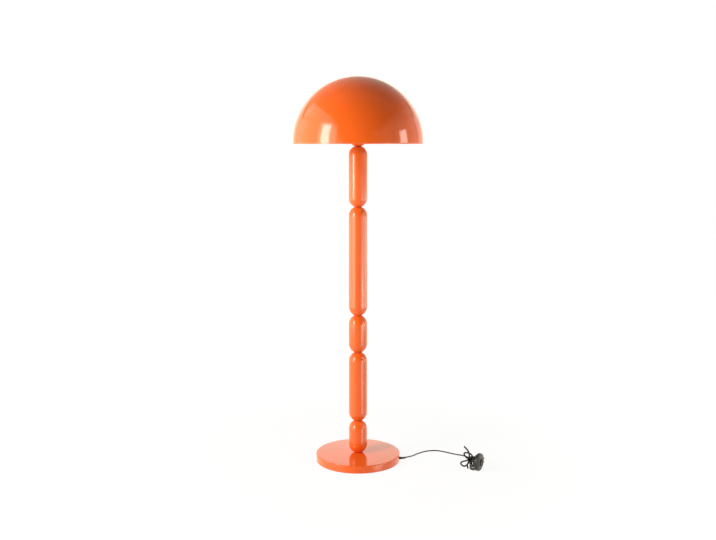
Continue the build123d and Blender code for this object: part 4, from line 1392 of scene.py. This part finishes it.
@dataclass(frozen=True)
class StemMaker:
    """Makes the enamelled base, capsules and washers."""

    sizes: LampSizes = SIZES
    base_lip: float = 0.0005
    washer_edge: float = 0.0006
    # Steps round each half of a capsule's end, outside and inside.
    outer_steps: int = 28
    inner_steps: int = 12

    def build(self) -> None:
        """Make the base's cover, the capsules and the washers."""
        self._base()
        self._capsules()
        self._washers()

    def _base(self) -> None:
        """Make the base's cover."""
        s = self.sizes
        outer, inner = s.base_radius, s.base_radius - s.base_wall
        under = s.base_top - s.base_wall
        corners = [
            (s.rod_bore, s.base_top, 0.0),
            (outer, s.base_top, s.base_edge),
            (outer, s.base_bottom, self.base_lip),
            (inner, s.base_bottom, self.base_lip),
            (inner, under, s.base_edge - s.base_wall),
            (s.rod_bore, under, 0.0),
        ]
        cover = Lathe("base_shell", rounded(corners, steps=8), segments=256).build()
        Pieces.put(cover, PALETTE.enamel, "orange_enamel", replaces=("base_cover",))

    def _capsules(self) -> None:
        """Make the capsules of the stem."""
        for index, (foot, length) in enumerate(zip(self.sizes.capsule_feet(), self.sizes.capsules), start=1):
            piece = Lathe(f"capsule_shell_{index}", self._capsule(foot, length)).build()
            Pieces.put(piece, PALETTE.enamel, "orange_enamel", replaces=(f"stem_capsule_{index}",))

    def _capsule(self, foot: float, length: float) -> list[Point2]:
        """Outline of one hollow capsule.

        Args:
            foot: Height of its lower end.
            length: Its length.

        Returns:
            Closed outline.
        """
        s = self.sizes
        rise = math.sqrt(s.stem_radius**2 - s.neck_radius**2)
        neck = math.degrees(math.asin(rise / s.stem_radius))
        low, high = foot + rise, foot + length - rise
        inner = s.stem_radius - s.stem_wall
        inner_neck = math.degrees(math.asin((rise - s.stem_wall) / inner))
        outline = [(s.spigot_radius, foot)]
        outline += arc_points((0.0, low), s.stem_radius, -neck, 0.0, self.outer_steps)
        outline += arc_points((0.0, high), s.stem_radius, 0.0, neck, self.outer_steps)
        outline.append((s.spigot_radius, foot + length))
        outline.append((s.spigot_radius, foot + length - s.stem_wall))
        outline += arc_points((0.0, high), inner, inner_neck, 0.0, self.inner_steps)
        outline += arc_points((0.0, low), inner, 0.0, -inner_neck, self.inner_steps)
        outline.append((s.spigot_radius, foot + s.stem_wall))
        return outline

    def _washers(self) -> None:
        """Make the washers, whose rounded edges, in dark red enamel that paints the crevice's shadow, are
        the dark lines between the capsules.
        """
        s = self.sizes
        made = []
        for high in s.capsule_feet():
            low = high - s.seam
            corners = [
                (s.rod_bore, low, 0.0),
                (s.seam_radius, low, self.washer_edge),
                (s.seam_radius, high, self.washer_edge),
                (s.rod_bore, high, 0.0),
            ]
            made.append(Lathe("joint_washer", rounded(corners, steps=4), segments=64).build())
        whole = join(made, "joint_washer_set")
        # The washers' dark red is painted shade for the crevice between the capsules.
        Pieces.put(whole, PALETTE.joint_enamel, "joint_enamel", replaces=("joint_washers",))


def join(objects: list[bpy.types.Object], name: str) -> bpy.types.Object:
    """Join mesh objects into one.

    Args:
        objects: Objects to join; they are used up.
        name: Name of the result.

    Returns:
        One object.
    """
    work = bmesh.new()
    for item in objects:
        work.from_mesh(item.data)
        bpy.data.objects.remove(item)
    return finish_mesh(work, name)


@dataclass(frozen=True)
class ShadeMaker:
    """Makes the dome."""

    sizes: LampSizes = SIZES
    # Steps from rim to top, outside and inside, and round the lip.
    outer_steps: int = 96
    inner_steps: int = 64
    lip_steps: int = 8
    segments: int = 288
    sharp: float = 60.0
    # The orange enamel goes round the lip and this far up the inside.
    inner_paint: float = 0.002

    def build(self) -> None:
        """Make the dome with its rounded rim; its inside is pale enamel."""
        s = self.sizes
        rim = s.rim()
        centre = rim + s.shade_skirt
        inner = s.shade_radius - s.shade_wall
        lip = s.shade_wall / 2
        outline = [(0.0, centre + s.shade_radius)]
        outline += arc_points((0.0, centre), s.shade_radius, 90.0, 0.0, self.outer_steps)[1:]
        outline += arc_points((s.shade_radius - lip, rim + lip), lip, 0.0, -180.0, self.lip_steps)
        outline += arc_points((0.0, centre), inner, 0.0, 90.0, self.inner_steps)[:-1]
        outline.append((0.0, centre + inner))
        turned = Lathe("dome_shell", outline, closed=False, segments=self.segments, sharp=self.sharp)
        dome = Pieces.put(turned.build(), PALETTE.enamel, "orange_enamel", replaces=("shade_dome",))
        dome.data.materials.append(PALETTE.inner_enamel.material())
        for face in dome.data.polygons:
            outward = Vector((face.center.x, face.center.y, max(0.0, face.center.z - centre)))
            if face.normal.dot(outward) < 0 and face.center.z > rim + self.inner_paint:
                face.material_index = 1


# --------------------------------------------------------------------------- lamp holder and bulb


@dataclass(frozen=True)
class HolderMaker:
    """Makes the lamp holder: cap, sleeve and ribbed clamping ring."""

    sizes: LampSizes = SIZES
    radius: float = 0.020
    bore: float = 0.0176
    cap_foot: float = 0.014
    # Heights in the cap: its cone outside, the floor of its hollow, and where the hollow is full width.
    cap_cone: float = 0.0132
    cap_floor: float = 0.012
    cap_hollow: float = 0.014
    # Heights above the sleeve's foot: its ledge, and the seat of the clamping ring.
    ledge_low: float = 0.004
    ledge_high: float = 0.007
    ring_lift: float = 0.0085
    # Heights above that seat: the flange's top, the ring's top and the middle of its ribs.
    flange_height: float = 0.002
    ring_height: float = 0.007
    rib_middle: float = 0.0044
    ledge_radius: float = 0.024
    flange_radius: float = 0.0285
    ring_bore: float = 0.02005
    ring_radius: float = 0.0226
    ribs: int = 40
    rib_foot: float = 0.0005
    rib_tip: float = 0.0004
    rib_length: float = 0.0046

    def build(self) -> None:
        """Turn the three rings and set the ribs round the last."""
        foot = self.sizes.stem_top() + self.sizes.holder_cap
        seat = foot + self.ring_lift
        outlines = (
            ("holder_cone", "holder_cap", self._cap(foot)),
            ("holder_sleeve", "holder_body", self._sleeve(foot)),
            ("clamp_ring", "shade_ring", self._ring(seat)),
        )
        for name, node, corners in outlines:
            piece = Lathe(name, rounded(corners), segments=96).build()
            Pieces.put(piece, PALETTE.nylon, "black_nylon", replaces=(node,))
        work = bmesh.new()
        ends = {"radius1": self.rib_foot, "radius2": self.rib_tip, "cap_ends": True}
        bmesh.ops.create_cone(work, segments=8, depth=self.rib_length, **ends)
        pattern = RingOfRibs(self.ribs, self.ring_radius, seat + self.rib_middle)
        ribs = pattern.apply(finish_mesh(work, "rib"), "clamp_ring_ribs", PALETTE.nylon)
        Pieces.put(ribs, PALETTE.nylon, "black_nylon")

    def _cap(self, foot: float) -> list[Point3]:
        """List the corners of the cap on the stem.

        Args:
            foot: Height of the sleeve's foot, where the cap ends.

        Returns:
            Radius, height and rounding of each corner.
        """
        top, bore = self.sizes.stem_top(), self.sizes.rod_bore
        return [
            (bore, top, 0.0), (self.cap_foot, top, 0.001), (self.radius, top + self.cap_cone, 0.004),
            (self.radius, foot, 0.0004), (self.bore, foot, 0.0), (self.bore, top + self.cap_hollow, 0.002),
            (bore, top + self.cap_floor, 0.0),
        ]

    def _sleeve(self, foot: float) -> list[Point3]:
        """List the corners of the sleeve with its ledge.

        Args:
            foot: Height of the sleeve's foot.

        Returns:
            Radius, height and rounding of each corner.
        """
        low, high, mouth = foot + self.ledge_low, foot + self.ledge_high, self.sizes.holder_mouth()
        return [
            (self.bore, foot, 0.0), (self.radius, foot, 0.0004), (self.radius, low, 0.0003),
            (self.ledge_radius, low, 0.0008), (self.ledge_radius, high, 0.0008), (self.radius, high, 0.0003),
            (self.radius, mouth, 0.0009), (self.bore, mouth, 0.0006),
        ]

    def _ring(self, seat: float) -> list[Point3]:
        """List the corners of the clamping ring, which sits on the spider's arms.

        Args:
            seat: Height of the ring's underside.

        Returns:
            Radius, height and rounding of each corner.
        """
        flange, top = seat + self.flange_height, seat + self.ring_height
        return [
            (self.ring_bore, seat, 0.0), (self.flange_radius, seat, 0.0005),
            (self.flange_radius, flange, 0.0005), (self.ring_radius, flange, 0.0008),
            (self.ring_radius, top, 0.0006), (self.ring_bore, top, 0.0003),
        ]


@dataclass(frozen=True)
class BulbMaker:
    """Makes the bulb: screw cap, collar and opal globe."""

    sizes: LampSizes = SIZES
    # How far the cap's contact lies below the holder's mouth, and the outline there, by radius and height.
    cap_depth: float = 0.0267
    contact: tuple[Point2, ...] = (
        (0.0, 0.0), (0.0048, 0.0), (0.0052, 0.0018), (0.0108, 0.0026), (0.0116, 0.0036),
    )
    # One turn of the thread, by share of its pitch and radius.
    thread: tuple[Point2, ...] = ((0.0, 0.0119), (0.25, 0.0126), (0.5, 0.0131), (0.75, 0.0126))
    thread_turns: int = 6
    thread_start: float = 0.0045
    thread_end: float = 0.003
    cap_neck: Point2 = (0.0122, 0.0028)
    cap_radius: float = 0.0131
    collar_height: float = 0.028
    globe_radius: float = 0.030
    globe_neck: float = 0.025
    globe_foot: float = 0.0245

    def build(self) -> None:
        """Make the three pieces, at the height of the lamp holder's mouth."""
        mouth = self.sizes.holder_mouth()
        top = mouth + self.collar_height
        cap = Lathe("bulb_screw_cap", self._cap(mouth), closed=False, segments=72, sharp=50.0).build()
        Pieces.put(cap, PALETTE.nickel, "bulb_cap_metal", Body.BULB, ("bulb_cap",))
        side = [
            (self.cap_radius, mouth, 0.0), (0.0145, mouth + 0.003, 0.002), (0.0208, top - 0.006, 0.006),
            (self.globe_neck, top, 0.0),
        ]
        outline = [(0.0, mouth), *rounded(side, closed=False), (0.0, top)]
        collar = Lathe("bulb_collar", outline, closed=False, segments=96).build()
        Pieces.put(collar, PALETTE.white_plastic, "white_plastic", Body.BULB, ("bulb_body",))
        centre = top + math.sqrt(self.globe_radius**2 - self.globe_neck**2)
        start = math.degrees(math.asin((top - centre) / self.globe_radius))
        globe = [(self.globe_foot, top), *arc_points((0.0, centre), self.globe_radius, start, 90.0, 40)]
        shell = Lathe("bulb_opal", globe, closed=False, segments=96).build()
        Pieces.put(shell, PALETTE.opal, "opal_glass", Body.BULB, ("bulb_globe",))

    def _cap(self, mouth: float) -> list[Point2]:
        """Outline of the screw cap, from its contact to the holder's mouth.

        Args:
            mouth: Height of the lamp holder's mouth.

        Returns:
            Outline that ends on the axis.
        """
        low = mouth - self.cap_depth
        outline = [(radius, low + height) for radius, height in self.contact]
        start = low + self.thread_start
        pitch = (mouth - self.thread_end - start) / self.thread_turns
        for turn in range(self.thread_turns):
            outline += [(radius, start + (turn + share) * pitch) for share, radius in self.thread]
        neck, below = self.cap_neck
        return outline + [(neck, mouth - below), (self.cap_radius, mouth), (0.0, mouth)]


# --------------------------------------------------------------------------- foot switch


@dataclass(frozen=True)
class SwitchMaker:
    """Makes the round foot switch."""

    shape: SwitchShape
    # A groove round the back: its radii from outside in, and its depth.
    back_groove: tuple[float, ...] = (0.0304, 0.0299, 0.0291, 0.0286)
    groove_depth: float = 0.0005
    # Gap between the halves, and the bevel of the front's rim.
    seam: float = 0.0003
    rim_step: float = 0.002
    # Rings round the front's crown: radius, and height above the rim.
    front_steps: tuple[Point2, ...] = (
        (0.0284, 0.0011), (0.0279, 0.0006), (0.0270, 0.0009), (0.0265, 0.0017),
    )
    crown_shoulder: float = 0.0210
    crown_edge: float = 0.0170
    crown_fall: float = 0.0006
    # The button's face is dished; a collar below the cover holds it in.
    dish_edge: float = 0.0022
    dish_depth: float = 0.0011
    dish_rise: float = 0.0009
    dish_steps: int = 8
    face_edge: float = 0.0018
    collar_radius: float = 0.0155
    collar_gap: float = 0.0009
    collar_height: float = 0.002
    # A sleeve: its part inside the case, its bore, its radii at case and tip, and its rings.
    sleeve_inside: float = 0.003
    sleeve_bore: float = 0.00255
    sleeve_radius: float = 0.0041
    sleeve_tip: float = 0.0032
    sleeve_shoulder: float = 0.0015
    ring_count: int = 3
    ring_depth: float = 0.0004

    def build(self) -> list[bpy.types.Object]:
        """Make the housing, button and sleeves.

        Returns:
            The pieces on the flex.
        """
        return [self._back(), self._front(), self._button(), *self._sleeves()]

    def _back(self) -> bpy.types.Object:
        """Make the back half with a groove round its face.

        Returns:
            The back half.
        """
        s = self.shape
        inner, floor = s.radius - s.wall, -s.half + s.wall
        outside, outer_foot, inner_foot, inside = self.back_groove
        deep = -s.half + self.groove_depth
        corners = [
            (0.0, -s.half, 0.0), (inside, -s.half, 0.0), (inner_foot, deep, 0.0003),
            (outer_foot, deep, 0.0003), (outside, -s.half, 0.0004), (s.radius, -s.half, 0.002),
            (s.radius, -self.seam, 0.0003), (inner, -self.seam, 0.0), (inner, floor, 0.001),
            (0.0, floor, 0.0),
        ]
        outline = rounded(corners, closed=False)
        piece = Lathe("switch_back", outline, closed=False, place=s.place).build()
        return Pieces.put(piece, PALETTE.nylon, "black_nylon", replaces=("switch_base",))

    def _front(self) -> bpy.types.Object:
        """Make the front half with its stepped rings round the button.

        Returns:
            The front half.
        """
        s = self.shape
        top = s.half + s.crown
        bore, inner = s.button_radius + s.button_gap, s.radius - s.wall
        corners = [
            (s.radius, 0.0, 0.0003),
            (s.radius, s.half - self.rim_step, 0.0012),
            (s.radius - self.rim_step, s.half, 0.0012),
            *((radius, s.half + height, 0.0003) for radius, height in self.front_steps),
            (self.crown_shoulder, top - self.crown_fall, 0.0008),
            (self.crown_edge, top, 0.0008),
            (bore, top, 0.0005),
            (bore, top - s.wall, 0.0),
            (self.crown_shoulder, top - s.wall - self.crown_fall, 0.0),
            (inner, s.half - s.wall, 0.001),
            (inner, 0.0, 0.0),
        ]
        piece = Lathe("switch_front", rounded(corners), place=s.place).build()
        return Pieces.put(piece, PALETTE.nylon, "black_nylon", replaces=("switch_cover",))

    def _button(self) -> bpy.types.Object:
        """Make the push button with its dished face.

        Returns:
            The button.
        """
        s = self.shape
        edge, collar = s.button_radius, self.collar_radius
        top = s.half + s.crown + s.button_proud
        foot = top - s.button_depth
        high = s.half + s.crown - s.wall - self.collar_gap
        low = high - self.collar_height
        outline = []
        for step in range(self.dish_steps + 1):
            radius = (edge - self.dish_edge) * step / self.dish_steps
            outline.append((radius, top - self.dish_depth + self.dish_rise * (radius / edge) ** 2))
        corners = [
            (edge - self.face_edge, top, 0.0003), (edge, top, 0.0012), (edge, high, 0.0),
            (collar, high, 0.0003), (collar, low, 0.0003), (edge, low, 0.0), (edge, foot, 0.0006),
            (0.0, foot, 0.0),
        ]
        outline += rounded(corners, closed=False)
        piece = Lathe("switch_push", outline, closed=False, segments=96, place=s.place).build()
        # The button's deeper black is painted shade, a darker copy of the switch's nylon.
        return Pieces.put(piece, PALETTE.button, "black_nylon", Body.BUTTON, ("switch_button",))

    def _sleeves(self) -> list[bpy.types.Object]:
        """Make the two tapered sleeves with their rings.

        Returns:
            The sleeves.
        """
        s = self.shape
        bore, tip = self.sleeve_bore, self.sleeve_tip
        start, end = s.rim_depth - self.sleeve_inside, s.rim_depth + s.sleeve
        first = s.rim_depth + self.sleeve_shoulder
        pitch = (s.sleeve - 2 * self.sleeve_shoulder) / self.ring_count
        outline = [(bore, start), (self.sleeve_radius, start), (self.sleeve_radius, first)]
        for step in range(self.ring_count):
            radius = self.sleeve_radius - (self.sleeve_radius - tip) * step / self.ring_count
            foot = first + pitch * step
            for share, depth in ((0.0, 0.0), (0.6, 0.0), (0.68, self.ring_depth), (0.92, self.ring_depth)):
                outline.append((radius - depth, foot + share * pitch))
        outline += [(tip, end - self.sleeve_shoulder), (tip, end - 0.0003), (tip - 0.0003, end), (bore, end)]
        pieces = []
        for name, side, replaces in (("sleeve_lower", -1, ("switch_glands",)), ("sleeve_upper", 1, ())):
            piece = Lathe(name, outline, segments=40, place=s.entry(side)).build()
            pieces.append(Pieces.put(piece, PALETTE.rubber, "black_rubber", replaces=replaces))
        return pieces


# --------------------------------------------------------------------------- the whole scene


class LampScene:
    """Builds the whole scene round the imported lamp."""

    # Nodes that stay in view as they are packed, by finish.
    CARRIED: tuple[tuple[Finish, tuple[str, ...]], ...] = (
        (PALETTE.cast_iron, ("base_weight",)),
        (PALETTE.zinc, (
            "base_plate", "base_screws", "base_washer", "base_nut", "capsule_bushes", "joint_nipples",
            "shade_spider", "spider_screws", "spider_nuts", "switch_screws",
        )),
        (PALETTE.foam, ("base_pad",)),
        (PALETTE.nylon, ("cord_clip",)),
        (PALETTE.rubber, ("cord_grommet", "plug_body")),
        (PALETTE.flex, ("inner_flex",)),
        (PALETTE.ceramic, ("holder_insert", "switch_block")),
        (PALETTE.brass, ("screw_shell",)),
        (PALETTE.inner_enamel, ("shade_lugs",)),
        (PALETTE.nickel, ("plug_pins",)),
    )

    def __init__(self, frame: dict) -> None:
        """Keep the frame.
        """
        self.nodes: dict[str, bpy.types.Object] = frame["nodes"]
        self.switch = SwitchShape()

    def build(self) -> None:
        """Make everything."""
        Studio().build()
        for finish, names in self.CARRIED:
            Pieces.dress(self.nodes, names, finish)
        switch = SwitchMaker(self.switch).build()
        switch += [self.nodes["switch_block"], self.nodes["switch_screws"]]
        plug = [self.nodes["plug_body"], self.nodes["plug_pins"]]
        flex = FlexMaker(self.switch)
        tie = TieShape().build(flex.routes.hank)
        flex.build(tie, switch, plug)
        for maker in (StemMaker(), ShadeMaker(), HolderMaker(), BulbMaker()):
            maker.build()


def main() -> None:
    """Load the lamp and dress it."""
    logging.basicConfig(level=logging.INFO, format="%(name)s: %(message)s")
    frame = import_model()
    LampScene(frame).build()


if __name__ == "__main__":
    main()
